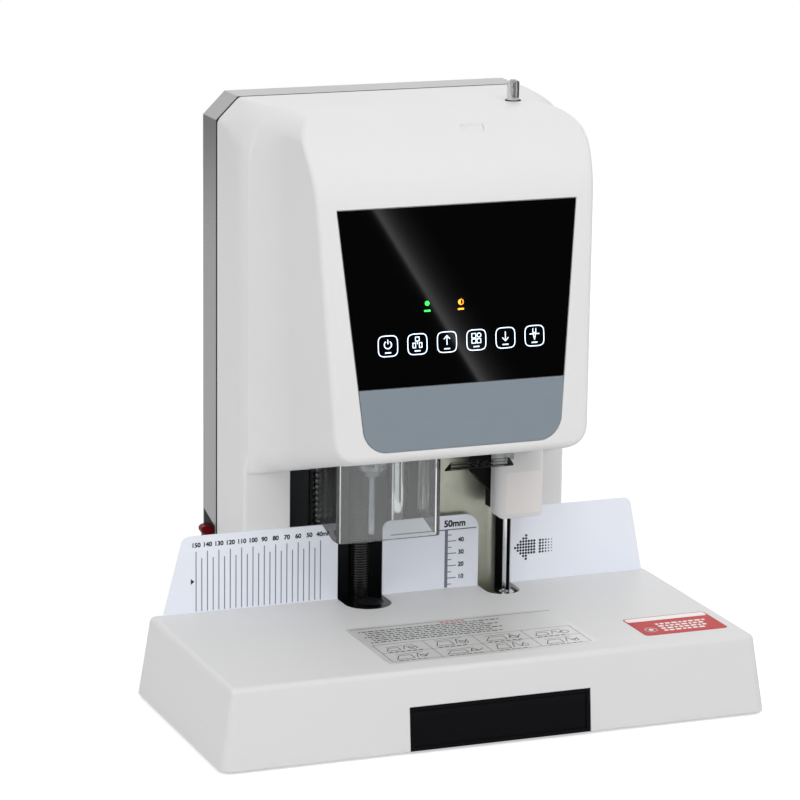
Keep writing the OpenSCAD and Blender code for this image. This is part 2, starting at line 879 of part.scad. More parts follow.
// Clear lip under the head, in front of the hot press
module rivet_visor() {
    y0 = shield_y - 15;
    z0 = under_z(y0, 0) - 11.5;
    x0 = rivet_x - 71;
    x1 = rivet_x - 9;
    color([0.85, 0.9, 0.92, 0.4])
        translate([0, y0, z0]) {
            rotate([12, 0, 0])
                linear_extrude(1.4)
                    polygon([[x0, 0], [x1, 0], [x1 + 1, 12], [x0 + 10, 12]]);
            translate([x1 - 2, 11, 2.4]) cube([7, 4, 5]);
        }
}

// ---- Frames -----------------------------------------------------------

frame_w = col_w - 90;

module main_frame() {
    color([0.35, 0.37, 0.4])
        difference() {
            union() {
                translate([-frame_w / 2, frame_y, plate_z]) cube([frame_w, 4, top_z - 41 - plate_z]);
                translate([-frame_w / 2, frame_y - 20, plate_z]) cube([frame_w * 0.6, 20, 3]);
            }
            translate([-frame_w * 0.4, frame_y - 1, lower_z + 20]) cube([20, 6, feed_travel * 2]);
        }
}

press_x0 = 25;
press_x1 = 89;

// Folded channel that carries the press, open towards the back
module press_frame() {
    t = 3;
    r = 12;
    w = press_x1 - press_x0;
    color([0.55, 0.55, 0.48])
        translate([press_x0, channel_y, bridge_z + bridge_t])
            linear_extrude(press_top_z - bridge_z - bridge_t)
                difference() {
                    union() {
                        translate([0, 0]) square([w - r, 10]);
                        translate([w - r, r]) circle(r);
                        translate([0, 3]) square([w - r, frame_y - channel_y - 3]);
                        translate([w - r - 1, r]) square([r + 1, frame_y - channel_y - r]);
                    }
                    translate([t, t]) square([w - t - r, r]);
                    translate([w - r, r]) circle(r - t);
                    translate([t, r]) square([w - 2 * t, 100]);
                }
}

module slide_brackets() {
    half = rod_span + rod_r + 6.5;
    color([0.45, 0.47, 0.5])
        for (z = [lower_z, upper_z])
            difference() {
                translate([drill_x - half, rod_y - rod_r - 5, z])
                    cube([2 * half, frame_y - rod_y + rod_r + 5, bracket_t]);
                for (side = [-1, 1])
                    translate([drill_x + side * rod_span, rod_y, z - 1]) cylinder(r = rod_r, h = 30);
                translate([drill_x, hose_y, z - 1]) cylinder(r = spout_r + 1.5, h = 30);
                translate([drill_x, screw_y, z - 1]) cylinder(r = feed_screw_r + run, h = 30);
            }
}

module guide_rods() {
    color([0.85, 0.86, 0.88])
        for (side = [-1, 1])
            translate([drill_x + side * rod_span, rod_y, bridge_z + 2])
                cylinder(r = rod_r, h = upper_z + bracket_t + 4 - bridge_z - 2);
}

module feed_motor() {
    color([0.12, 0.12, 0.13])
        translate([drill_x, screw_y, upper_z + bracket_t])
            difference() {
                translate([-21, -19, 0]) cube([42, 42, 44]);
                translate([0, 0, -1]) cylinder(r = feed_screw_r + 1, h = 22);
            }
}

module scrap_hose() {
    n = floor((hose_top - hose_z - 12) / hose_pitch);
    color([0.06, 0.06, 0.07])
        translate([drill_x, hose_y, hose_z])
            rotate_extrude()
                polygon(concat(
                    [[hose_r - hose_wall, 0], [hose_r - 0.6, 0]],
                    [for (i = [0 : n - 1], p = [0, 1, 2, 3])
                        [hose_r - (p == 1 || p == 2 ? 0 : 0.8),
                            6 + (i + [0, 0.25, 0.6, 0.85][p]) * hose_pitch]],
                    [[hose_r - 0.6, hose_top - hose_z], [hose_r - hose_wall, hose_top - hose_z]]
                ));
}

bridge_z = base_h - 24;
bridge_t = 10;
hose_z = bridge_z + bridge_t + 4;

module chip_chute() {
    color([0.1, 0.1, 0.11])
        translate([drill_x, hose_y, 0])
            difference() {
                union() {
                    translate([0, 0, bridge_z - 2]) cylinder(r = hose_r + 1.4, h = bridge_t + 2);
                    translate([0, 0, bridge_z + bridge_t]) cylinder(r = hose_r + 3, h = 10);
                }
                translate([0, 0, bridge_z - 3]) cylinder(r = hose_r - hose_wall, h = 30);
                translate([0, 0, hose_z]) cylinder(r = hose_r, h = 30);
            }
}

module anvil_bridge() {
    x0 = drill_x - rod_span - rod_r - 19.5;
    x1 = rivet_x + 17;
    y0 = axis_y - 25.5;
    depth = rod_y + rod_r + 10 - y0;
    color([0.4, 0.42, 0.45])
        difference() {
            union() {
                translate([x0, y0, bridge_z]) cube([x1 - x0, depth, bridge_t]);
                for (x = [x0, x1 - 12])
                    translate([x, y0, plate_z]) cube([12, depth, bridge_z - plate_z + 1]);
            }
            translate([drill_x, hose_y, bridge_z - 1]) cylinder(r = hose_r + 1.4, h = 20);
            for (side = [-1, 1])
                translate([drill_x + side * rod_span, rod_y, bridge_z + 2]) cylinder(r = rod_r, h = 20);
        }
}

// Black block that fills the left notch and holds the drill pad
module pad_block() {
    color([0.04, 0.04, 0.05])
        difference() {
            union() {
                translate([0, 0, bridge_z + bridge_t])
                    intersection() {
                        notch(left_gap[0] + gap, left_gap[1] - gap, base_h - 0.6 - bridge_z - bridge_t);
                        translate([-100, fence_y - 60, 0]) cube([200, 59, 40]);
                    }
            }
            translate([drill_x, axis_y, pad_z - 6]) cylinder(r = pad_r + 0.1, h = 20);
        }
}

module drill_pad() {
    color([0.12, 0.12, 0.13])
        translate([drill_x, axis_y, pad_z - 6])
            difference() {
                cylinder(r = pad_r, h = 6);
                translate([0, 0, 5]) tube(bit_r + 0.6, bit_bore - 0.3, 2);
            }
}

module lower_heater() {
    color([0.6, 0.55, 0.35])
        difference() {
            translate([rivet_x - 12, axis_y - 12, bridge_z + bridge_t]) cube([22, 24, 8]);
            translate([rivet_x, axis_y, bridge_z + bridge_t - 1]) cylinder(r = lower_die_r - 3, h = 20);
        }
}

lower_die_r = 9.3;

module lower_rivet_die() {
    color([0.8, 0.8, 0.82])
        translate([rivet_x, axis_y, 0])
            difference() {
                union() {
                    translate([0, 0, bridge_z + bridge_t]) cylinder(r = lower_die_r - 3, h = 9);
                    translate([0, 0, bridge_z + bridge_t + 8]) cylinder(r = lower_die_r, h = die_z - bridge_z - bridge_t - 8);
                }
                translate([0, 0, bridge_z + bridge_t + 1]) cylinder(r = needle_r + 0.4, h = 30);
                translate([0, 0, die_z - 1.2]) tube(4.2, needle_r + 0.3, 3);
            }
}

module press_posts() {
    color([0.85, 0.86, 0.88])
        for (side = [-1, 1])
            translate([rivet_x + side * post_span, post_y, press_low_z])
                cylinder(r = post_r, h = press_top_z - press_low_z + bracket_t);
}

// Upper and lower carriers of the press posts and screw
module press_brackets() {
    half = post_span + post_r + 2;
    color([0.45, 0.47, 0.5])
        difference() {
            union() {
                translate([rivet_x - half, post_y - post_r - 2, press_low_z])
                    cube([2 * half, channel_y - post_y + post_r + 2, bracket_t]);
                translate([rivet_x - half, axis_y - 8, press_top_z])
                    cube([2 * half, channel_y - axis_y + 10, bracket_t]);
                translate([press_x0, channel_y, press_top_z]) cube([press_x1 - press_x0, frame_y - channel_y, bracket_t]);
            }
            for (side = [-1, 1])
                translate([rivet_x + side * post_span, post_y, 0]) cylinder(r = post_r, h = 500);
            translate([rivet_x, press_screw_y, 0]) cylinder(r = press_screw_r + run, h = 500);
            translate([rivet_x, axis_y, 0]) cylinder(r = needle_r + run, h = 500);
            translate([press_motor_x, press_motor_y, 0]) cylinder(r = 6, h = 500);
            translate([rivet_x - 5, post_y - 10, press_low_z - 1]) cube([10, 5, 20]);
        }
}

press_motor_x = 56;

module press_motor() {
    color([0.12, 0.12, 0.13])
        translate([press_motor_x, press_motor_y, press_top_z - 56])
            difference() {
                union() {
                    cylinder(r = 20, h = 56);
                    translate([0, 0, 55]) cylinder(r = 5.5, h = bracket_t);
                }
                translate([0, 0, 34]) cylinder(r = 3 + run, h = 60);
            }
}

module press_drive_pulley() {
    color([0.6, 0.62, 0.64])
        translate([press_motor_x, press_motor_y, 0]) {
            translate([0, 0, belt_z]) pulley(press_pulley_r, 3, pulley_h);
            translate([0, 0, press_top_z - 20]) cylinder(r = 3, h = belt_z + pulley_h - press_top_z + 20);
        }
}

press_belt_turn = atan2(press_motor_y - press_screw_y, press_motor_x - rivet_x);
press_belt_span = norm([press_motor_x - rivet_x, press_motor_y - press_screw_y]);

module press_belt() {
    color([0.08, 0.08, 0.08])
        translate([rivet_x, press_screw_y, belt_z + 3])
            belt(press_pulley_r + 0.15, press_pulley_r + 0.15, press_belt_span, press_belt_turn, 6);
}

module power_supply() {
    w = frame_w * 0.65;
    d = rear_y - shell_t - frame_y - 12.3;
    h = col_rise * 3 / 14;
    z0 = base_h + 82;
    color("silver")
        difference() {
            translate([-frame_w * 0.35, frame_y + 4, z0]) cube([w, d, h]);
            for (i = [0:11])
                translate([-frame_w * 0.35 + 10 + i * (w - 20) / 11, frame_y + d - 2, z0 + 10])
                    cube([4, 20, h - 30]);
        }
}

loom_x = drill_x - rod_span - 4;
loom_y = col_y + 6.8;
loom_r = 4.3;
loom_top = hanger_z - 0.3;

// Ribbed sleeve for the wires, in front of the left guide rod
module wire_loom() {
    pitch = 5;
    z0 = bridge_z + bridge_t;
    n = floor((loom_top - z0) / pitch);
    color([0.05, 0.05, 0.05])
        translate([loom_x, loom_y, z0])
            rotate_extrude()
                polygon(concat(
                    [[0, 0]],
                    [for (i = [0 : n - 1], p = [0, 1, 2, 3])
                        [loom_r - (p == 1 || p == 2 ? 0 : 0.9), (i + [0.02, 0.2, 0.7, 0.9][p]) * pitch]],
                    [[loom_r - 0.9, loom_top - z0], [0, loom_top - z0]]
                ));
}

// ---- Drill unit -------------------------------------------------------

module drill_carriage() {
    x = drill_x;
    color([0.5, 0.52, 0.55])
        difference() {
            union() {
                translate([x - 49, hose_y - hose_r - 1, carriage_z])
                    cube([98, screw_y + 12 - hose_y + hose_r + 1, carriage_h]);
                translate([x - 20, axis_y, carriage_z]) cube([40, 24, carriage_h]);
                translate([x, axis_y, chuck_z + chuck_h + 4])
                    cylinder(r = boss_r, h = carriage_top - chuck_z - chuck_h - 4);
                translate([x, motor_y - 12, carriage_top - 9]) cube([motor_x - x, 24, 9]);
                translate([motor_x, motor_y, carriage_top - 9]) cylinder(r = motor_body_r, h = 9);
            }
            translate([x, axis_y, 0]) cylinder(r = spindle_r + 1, h = 500);
            translate([x, axis_y, chuck_z + chuck_h + 3]) cylinder(r = bearing_r, h = bearing_h + 1);
            translate([x, axis_y, carriage_top - bearing_h]) cylinder(r = bearing_r, h = 60);
            for (side = [-1, 1])
                translate([x + side * rod_span, rod_y, 0]) cylinder(r = rod_r + run, h = 500);
            translate([x, hose_y, 0]) cylinder(r = spout_r, h = 500);
            translate([x, screw_y, 0]) cylinder(r = feed_screw_r + run, h = 500);
            translate([motor_x, motor_y, carriage_top - 10]) cylinder(r = 6, h = 12);
        }
}

boss_r = 18;
bearing_r = 14;
bearing_h = 9;
motor_body_r = 20;

module spindle_bearings() {
    color([0.85, 0.86, 0.88])
        for (z = [chuck_z + chuck_h + 4, carriage_top - bearing_h])
            translate([drill_x, axis_y, z]) tube(bearing_r, spindle_r + run, bearing_h);
}

module spindle_motor() {
    color([0.15, 0.15, 0.16])
        translate([motor_x, motor_y, carriage_top - 9 - 56])
            difference() {
                union() {
                    cylinder(r = motor_body_r, h = 56);
                    translate([0, 0, 55]) cylinder(r = 6, h = 8);
                }
                translate([0, 0, 40]) cylinder(r = 3 + run, h = 60);
            }
}

module chip_hood() {
    color([0.1, 0.1, 0.11])
        translate([drill_x, 0, hood_z])
            difference() {
                union() {
                    translate([-13, axis_y, 0]) cube([26, hose_y - axis_y, 20]);
                    translate([0, axis_y, 0]) cylinder(r = 13, h = 20);
                    translate([0, hose_y, 0]) cylinder(r = 13, h = 20);
                    translate([0, hose_y, spout_z - hood_z]) cylinder(r = spout_r, h = hood_z - spout_z + 1);
                }
                translate([-10, axis_y, 2]) cube([20, hose_y - axis_y, 15]);
                translate([0, axis_y, 2]) cylinder(r = 10, h = 15);
                translate([0, axis_y, -1]) cylinder(r = spindle_r + gap, h = 10);
                translate([0, hose_y, spout_z - hood_z - 1]) cylinder(r = spout_r - 1.5, h = hood_z - spout_z + 10);
            }
}

belt_turn = atan2(motor_y - axis_y, motor_x - drill_x);
belt_span = norm([motor_x - drill_x, motor_y - axis_y]);

module drill_belt() {
    color([0.08, 0.08, 0.08])
        translate([drill_x, axis_y, carriage_top + 5])
            belt(spindle_pulley_r + 0.2, motor_pulley_r + 0.2, belt_span, belt_turn, 6);
}

module spindle() {
    color([0.75, 0.76, 0.78])
        translate([drill_x, axis_y, chuck_z + chuck_h - 8])
            tube(spindle_r, spindle_r - 2.5, hood_z + 4 - chuck_z - chuck_h + 8);
}

module pulley(r, bore, h) {
    difference() {
        union() {
            cylinder(r = r, h = h);
            cylinder(r = r + 2, h = 1.5);
            translate([0, 0, h - 1.5]) cylinder(r = r + 2, h = 1.5);
        }
        translate([0, 0, -1]) cylinder(r = bore, h = h + 2);
    }
}

module spindle_pulley() {
    color([0.6, 0.62, 0.64])
        translate([drill_x, axis_y, carriage_top + 2]) pulley(spindle_pulley_r, spindle_r, pulley_h);
}

module motor_pulley() {
    color([0.6, 0.62, 0.64])
        translate([motor_x, motor_y, 0]) {
            translate([0, 0, carriage_top + 2]) pulley(motor_pulley_r, 3, pulley_h);
            translate([0, 0, carriage_top - 24]) cylinder(r = 3, h = 24 + 2 + pulley_h);
        }
}

chuck_r = 12;

// Collet chuck: a nut with flats over a tapered nose
module drill_chuck() {
    color([0.45, 0.46, 0.48])
        translate([drill_x, axis_y, chuck_z])
            difference() {
                union() {
                    cylinder(r1 = 7, r2 = 10, h = 6);
                    translate([0, 0, 6]) cylinder(r = chuck_r, h = 20);
                    translate([0, 0, 26]) cylinder(r = spindle_r + 2, h = chuck_h - 26);
                }
                translate([0, 0, -1]) cylinder(r = bit_r, h = 30);
                translate([0, 0, chuck_h - 8]) cylinder(r = spindle_r, h = 20);
                for (a = [0 : 60 : 300])
                    rotate([0, 0, a]) translate([chuck_r - 0.8, -10, 10]) cube([3, 20, 12]);
            }
}

module drill_bit() {
    edge = 1.2;
    color([0.85, 0.86, 0.88])
        translate([drill_x, axis_y, bit_z])
            rotate_extrude()
                polygon([
                    [bit_bore, 0], [bit_r, edge], [bit_r, bit_free + 20],
                    [bit_bore - 0.4, bit_free + 20], [bit_bore - 0.4, 14], [bit_bore, 10]
                ]);
}

module feed_screw() {
    color([0.7, 0.71, 0.73])
        translate([drill_x, screw_y, lower_z + 1])
            difference() {
                cylinder(r = feed_screw_r, h = upper_z + bracket_t + 18 - lower_z - 1);
                translate([feed_screw_r - 0.8, -10, upper_z + bracket_t + 6 - lower_z]) cube([5, 20, 20]);
            }
}

// ---- Press ------------------------------------------------------------

module press_slide() {
    half = post_span + post_r + 3;
    color([0.5, 0.52, 0.55])
        difference() {
            translate([rivet_x - half, axis_y - 12, slide_z])
                cube([2 * half, channel_y - axis_y + 11.4, slide_h]);
            for (side = [-1, 1])
                translate([rivet_x + side * post_span, post_y, 0]) cylinder(r = post_r + run, h = 500);
            translate([rivet_x, press_screw_y, 0]) cylinder(r = press_screw_r + run, h = 500);
            translate([rivet_x, axis_y, 0]) cylinder(r = needle_r + gap, h = 500);
        }
}

// Arm that reaches down from the slide to the hot head
module press_arm() {
    color([0.07, 0.07, 0.08])
        difference() {
            union() {
                translate([rivet_x - 13, axis_y - 12, arm_z + 14]) cube([24, 14, slide_z - arm_z - 14]);
                translate([rivet_x - 14, axis_y - 13, arm_z - 4]) cube([29, 24, 24]);
                translate([rivet_x, axis_y + 7, arm_z])
                    rotate([90, 0, 0])
                        linear_extrude(12)
                            polygon([[-31, 44], [-31, 28], [-19, 15], [-13, 10], [2, 10], [2, 44]]);
            }
            translate([rivet_x, axis_y, 0]) cylinder(r = needle_r + gap, h = 500);
            translate([rivet_x, axis_y, arm_z - 5]) cylinder(r = heater_r, h = 17);
        }
}

heater_r = 10;

module upper_heater() {
    color([0.7, 0.6, 0.35])
        translate([rivet_x, axis_y, arm_z - 4])
            difference() {
                cylinder(r = heater_r, h = 16);
                translate([0, 0, -1]) cylinder(r = needle_r + gap, h = 30);
                translate([0, 0, -1]) cylinder(r = die_r - 2, h = 9);
            }
}

module upper_rivet_die() {
    color([0.8, 0.8, 0.82])
        translate([rivet_x, axis_y, upper_die_z])
            difference() {
                union() {
                    cylinder(r = die_r, h = arm_z - 4 - upper_die_z);
                    cylinder(r = die_r - 2, h = arm_z + 4 - upper_die_z);
                }
                translate([0, 0, -1]) cylinder(r = needle_r + 0.3, h = 30);
                translate([0, 0, -1]) tube(4, needle_r + 0.3, 2.2);
            }
}

module press_screw() {
    color([0.7, 0.71, 0.73])
        translate([rivet_x, press_screw_y, press_low_z + 1])
            cylinder(r = press_screw_r, h = belt_z + pulley_h - press_low_z - 1);
}

module press_pulley() {
    color([0.6, 0.62, 0.64])
        translate([rivet_x, press_screw_y, belt_z]) pulley(press_pulley_r, press_screw_r, pulley_h);
}

needle_z = bridge_z + bridge_t + 4;

module guide_needle() {
    color([0.85, 0.86, 0.88])
        translate([rivet_x, axis_y, needle_z]) {
            cylinder(r1 = 0.6, r2 = needle_r, h = 3);
            translate([0, 0, 3]) cylinder(r = needle_r, h = top_z - 30 - needle_z - 3);
        }
}

module needle_knob() {
    color([0.85, 0.86, 0.88])
        translate([rivet_x, axis_y, top_z - 36])
            difference() {
                union() {
                    cylinder(r = knob_r, h = 36 + knob_rise - 0.8);
                    cylinder(r = knob_r - 0.8, h = 36 + knob_rise);
                }
                translate([0, 0, -1]) cylinder(r = needle_r, h = 7);
                translate([0, 0, 30 + knob_rise]) cylinder(r = knob_r - 2, h = 20);
            }
}

// ---- Scrap drawer -----------------------------------------------------

drawer_z = plate_z + 0.4;
drawer_end = hose_y + hose_r + 10;

module scrap_drawer() {
    w = drawer_w - 4;
    front = front_y + 4;
    slope = base_lean / base_h;
    color([0.05, 0.05, 0.06]) {
        difference() {
            translate([-w / 2, front, drawer_z]) cube([w, drawer_end - front, drawer_h - 9]);
            translate([-w / 2 + drawer_t, front + drawer_t, drawer_z + drawer_t])
                cube([w - 2 * drawer_t, drawer_end - front - 2 * drawer_t, drawer_h]);
        }
        difference() {
            translate([-drawer_w / 2, 0, 0]) drawer_face(0, 6, 0, drawer_h);
            translate([-drawer_w / 2 + 3, 0, 0]) drawer_face(-1, 1.2, 3, drawer_h - 3, 6);
        }
    }
}

// Slab parallel to the sloping front, from depth d0 to d1 and z0 to z1
module drawer_face(d0, d1, z0, z1, less = 0) {
    slope = base_lean / base_h;
    y0 = front_y + 0.4;
    translate([0, 0, skirt_gap + 0.5])
        rotate([90, 0, 90])
            linear_extrude(drawer_w - less)
                polygon([
                    [y0 + d0 + z0 * slope, z0], [y0 + d1 + z0 * slope, z0],
                    [y0 + d1 + z1 * slope, z1], [y0 + d0 + z1 * slope, z1]
                ]);
}

base_plate();
rubber_feet();
cover_posts();
base_cover();
left_fence_plate();
middle_fence_plate();
right_fence_plate();
front_cover();
rear_cover();
seam_gasket();
panel_glass();
panel_trim();
control_board();
drill_guard();
guard_hanger();
rivet_shield();
rivet_visor();
main_frame();
press_frame();
slide_brackets();
guide_rods();
feed_motor();
scrap_hose();
chip_chute();
anvil_bridge();
pad_block();
drill_pad();
lower_heater();
lower_rivet_die();
press_posts();
press_brackets();
press_motor();
press_belt();
power_supply();
wire_loom();
switch_bezel();
power_inlet();
cover_screws();
drill_carriage();
spindle_bearings();
spindle_motor();
chip_hood();
drill_belt();
spindle();
spindle_pulley();
drill_chuck();
drill_bit();
motor_pulley();
feed_screw();
press_slide();
press_arm();
upper_heater();
upper_rivet_die();
press_screw();
press_pulley();
press_drive_pulley();
guide_needle();
needle_knob();
scrap_drawer();
power_rocker();
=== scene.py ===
"""Looks of the electric voucher binding machine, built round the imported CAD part."""
import json
import math

import bmesh
import bpy
from mathutils import Matrix, Vector


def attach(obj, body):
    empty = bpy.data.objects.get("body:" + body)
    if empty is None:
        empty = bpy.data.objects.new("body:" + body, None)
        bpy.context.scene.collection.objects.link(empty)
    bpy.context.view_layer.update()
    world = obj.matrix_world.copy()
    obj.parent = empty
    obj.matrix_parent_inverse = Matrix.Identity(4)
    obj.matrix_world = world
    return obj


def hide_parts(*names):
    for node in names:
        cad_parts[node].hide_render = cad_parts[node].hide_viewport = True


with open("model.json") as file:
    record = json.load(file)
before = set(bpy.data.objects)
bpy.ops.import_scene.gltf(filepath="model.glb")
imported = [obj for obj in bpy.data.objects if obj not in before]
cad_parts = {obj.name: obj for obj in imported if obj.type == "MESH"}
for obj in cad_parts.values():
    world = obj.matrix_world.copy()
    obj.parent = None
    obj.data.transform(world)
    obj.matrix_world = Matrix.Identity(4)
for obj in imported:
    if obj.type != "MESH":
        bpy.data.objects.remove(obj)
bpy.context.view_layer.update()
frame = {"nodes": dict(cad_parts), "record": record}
NODES = frame["nodes"]
MM = 0.001

# ---------------------------------------------------------------- sizes, mm
BASE_H, TOP_Z, COL_Y, SEAM_Y, FRONT_Y = 68.0, 488.0, 55.0, 125.8, -161.0
COL_HALF, CHAMFER, SHELL = 145.0, 19.0, 3.0
LEAN, UNDER, ROLL_R = math.radians(6), math.radians(15), 73.0
FACE_Y, FACE_Z, FACE_HALF = -72.5, 217.0, 110.0
DRAFT, FLARE, COVE = 0.043, 0.065, 44.0
LOW_R, CREASE_R, LIP_R = 18.0, 5.0, 8.0
ROLL_Z = TOP_Z - ROLL_R
RISE = ROLL_Z + ROLL_R * math.sin(LEAN) - FACE_Z
EDGE_Y, EDGE_Z = FACE_Y + RISE * math.tan(LEAN), FACE_Z + RISE
ROLL_Y = EDGE_Y + ROLL_R * math.cos(LEAN)
DRILL_X, RIVET_X, AXIS_Y, FENCE_Y, SHIELD_Y = -37.0, 85.0, 39.5, 53.5, 18.0
BASE_HALF, BASE_PULL_X, BASE_PULL_Y, BASE_CORNER = 237.0, 10.0, 5.7, 10.0
ROCKER_PIN = (-141.0, 145.0, 106.0)
PRINT_GAP, FILM = 0.02, 0.15  # prints stand just off their surface; the label film's thickness


# ---------------------------------------------------------------- colours
def lin(hexa):
    """sRGB hex to linear colour."""
    out = []
    for i in (0, 2, 4):
        c = int(hexa[i:i + 2], 16) / 255
        out.append(c / 12.92 if c <= 0.04045 else ((c + 0.055) / 1.055) ** 2.4)
    return (*out, 1.0)


def node(tree, kind, at=(0, 0), **values):
    """Adds a node. in_NAME or in_NUMBER sets an input, anything else a setting."""
    n = tree.nodes.new(kind)
    n.location = at
    for key, v in values.items():
        if key.startswith("in_"):
            k = key[3:]
            n.inputs[int(k) if k.isdigit() else k.replace("_", " ")].default_value = v
        else:
            setattr(n, key, v)
    return n


def new_mat(name):
    m = bpy.data.materials.new(name)
    m.use_nodes = True
    m.node_tree.nodes.clear()
    return m, m.node_tree


def wire(t, *pairs):
    for a, b in pairs:
        t.links.new(a, b)


def soft_edges(t, radius, samples=4):
    """A rounded look on every hard edge: real mouldings and machined parts never end in a knife edge."""
    return node(t, "ShaderNodeBevel", (-600, -400), samples=samples, in_Radius=radius)


def grain(t, scale, strength, edge, distance=0.0001, detail=3.0):
    """Fine surface grain over the softened edges; returns the normal output."""
    tex = node(t, "ShaderNodeTexCoord", (-1200, -200))
    noise = node(t, "ShaderNodeTexNoise", (-1000, -200), in_Scale=scale, in_Detail=detail, in_Roughness=0.6)
    bump = node(t, "ShaderNodeBump", (-400, -200), in_Strength=strength, in_Distance=distance)
    bev = soft_edges(t, edge)
    wire(t, (tex.outputs["Object"], noise.inputs["Vector"]), (noise.outputs["Fac"], bump.inputs["Height"]),
         (bev.outputs["Normal"], bump.inputs["Normal"]))
    return bump.outputs["Normal"]


def finish_mat(t, shader):
    out = node(t, "ShaderNodeOutputMaterial", (400, 0))
    wire(t, (shader, out.inputs["Surface"]))


def moulded(name, colour, rough, edge=0.0006, vary=0.03, grain_scale=900.0, grain_strength=0.08, spec=0.5, painted_glow=0.0):
    """Injection-moulded plastic: a slight drift of tone and gloss over large distances and a fine spark texture."""
    m, t = new_mat(name)
    b = node(t, "ShaderNodeBsdfPrincipled", (0, 0), in_Roughness=rough, in_IOR=1.49)
    b.inputs["Specular IOR Level"].default_value = spec
    tex = node(t, "ShaderNodeTexCoord", (-1200, 200))
    cloud = node(t, "ShaderNodeTexNoise", (-1000, 200), in_Scale=7.0, in_Detail=2.0)
    ramp = node(t, "ShaderNodeMapRange", (-800, 200), in_3=rough - vary, in_4=rough + vary)
    tone = node(t, "ShaderNodeMix", (-400, 300), data_type="RGBA")
    c = lin(colour)
    tone.inputs[6].default_value = c
    tone.inputs[7].default_value = tuple(x * 0.965 for x in c[:3]) + (1.0,)
    if painted_glow:
        # painted glow: emission lifts the thin sheet out of the shade under the head, standing in for light that
        # passes through it from behind
        b.inputs["Emission Color"].default_value = c
        b.inputs["Emission Strength"].default_value = painted_glow
    wire(t, (tex.outputs["Object"], cloud.inputs["Vector"]), (cloud.outputs["Fac"], ramp.inputs["Value"]),
         (ramp.outputs["Result"], b.inputs["Roughness"]), (cloud.outputs["Fac"], tone.inputs[0]),
         (tone.outputs[2], b.inputs["Base Color"]),
         (grain(t, grain_scale, grain_strength, edge), b.inputs["Normal"]))
    finish_mat(t, b.outputs["BSDF"])
    return m


def metal(name, colour, rough, edge=0.0004, stretch=(1, 1, 1), brush=0.0, scale=400.0, metallic=1.0, drift=0.86,
          patch=25.0):
    """Bare or plated metal; brush makes turning or rolling marks along the short axis of stretch."""
    m, t = new_mat(name)
    b = node(t, "ShaderNodeBsdfPrincipled", (0, 0), in_Metallic=metallic, in_Roughness=rough)
    tex = node(t, "ShaderNodeTexCoord", (-1400, 200))
    mp = node(t, "ShaderNodeMapping", (-1200, 200), in_Scale=stretch)
    n1 = node(t, "ShaderNodeTexNoise", (-1000, 200), in_Scale=scale, in_Detail=4.0)
    rr = node(t, "ShaderNodeMapRange", (-800, 200), in_3=max(rough - 0.08, 0.02), in_4=rough + 0.1)
    n2 = node(t, "ShaderNodeTexNoise", (-1000, 500), in_Scale=patch, in_Detail=3.0)
    tone = node(t, "ShaderNodeMix", (-400, 300), data_type="RGBA")
    c = lin(colour)
    tone.inputs[6].default_value = c
    tone.inputs[7].default_value = tuple(x * drift for x in c[:3]) + (1.0,)
    bump = node(t, "ShaderNodeBump", (-400, -200), in_Strength=brush, in_Distance=0.00005)
    bev = soft_edges(t, edge)
    wire(t, (tex.outputs["Object"], mp.inputs["Vector"]), (mp.outputs["Vector"], n1.inputs["Vector"]),
         (tex.outputs["Object"], n2.inputs["Vector"]), (n1.outputs["Fac"], rr.inputs["Value"]),
         (rr.outputs["Result"], b.inputs["Roughness"]), (n2.outputs["Fac"], tone.inputs[0]),
         (tone.outputs[2], b.inputs["Base Color"]), (n1.outputs["Fac"], bump.inputs["Height"]),
         (bev.outputs["Normal"], bump.inputs["Normal"]), (bump.outputs["Normal"], b.inputs["Normal"]))
    finish_mat(t, b.outputs["BSDF"])
    return m


def clear(name, tint, haze=0.04, milk=0.12, ior=1.55):
    """Thin clear sheet: it passes light straight through with a slight tint and mirrors more at a grazing angle."""
    m, t = new_mat(name)
    see = node(t, "ShaderNodeBsdfTransparent", (-600, 100), in_Color=lin(tint))
    veil = node(t, "ShaderNodeBsdfDiffuse", (-600, -50), in_Color=(0.9, 0.9, 0.9, 1))
    glass = node(t, "ShaderNodeMixShader", (-300, 100), in_0=milk)
    gloss = node(t, "ShaderNodeBsdfGlossy", (-200, -100), in_Roughness=haze, in_Color=(1, 1, 1, 1))
    fres = node(t, "ShaderNodeFresnel", (-400, 250), in_IOR=ior)
    mix = node(t, "ShaderNodeMixShader", (100, 0))
    wire(t, (see.outputs["BSDF"], glass.inputs[1]), (veil.outputs["BSDF"], glass.inputs[2]),
         (fres.outputs["Fac"], mix.inputs[0]), (glass.outputs["Shader"], mix.inputs[1]),
         (gloss.outputs["BSDF"], mix.inputs[2]))
    finish_mat(t, mix.outputs["Shader"])
    return m


def ink(name, colour, rough=0.45):
    """Screen-printed ink, slightly uneven."""
    m, t = new_mat(name)
    b = node(t, "ShaderNodeBsdfPrincipled", (0, 0), in_Roughness=rough)
    tex = node(t, "ShaderNodeTexCoord", (-1000, 0))
    noise = node(t, "ShaderNodeTexNoise", (-800, 0), in_Scale=3000.0)
    mix = node(t, "ShaderNodeMix", (-400, 0), data_type="RGBA")
    c = lin(colour)
    mix.inputs[6].default_value = c
    mix.inputs[7].default_value = tuple(min(1.0, x * 1.15 + 0.004) for x in c[:3]) + (1.0,)
    wire(t, (tex.outputs["Object"], noise.inputs["Vector"]), (noise.outputs["Fac"], mix.inputs[0]),
         (mix.outputs[2], b.inputs["Base Color"]))
    finish_mat(t, b.outputs["BSDF"])
    return m


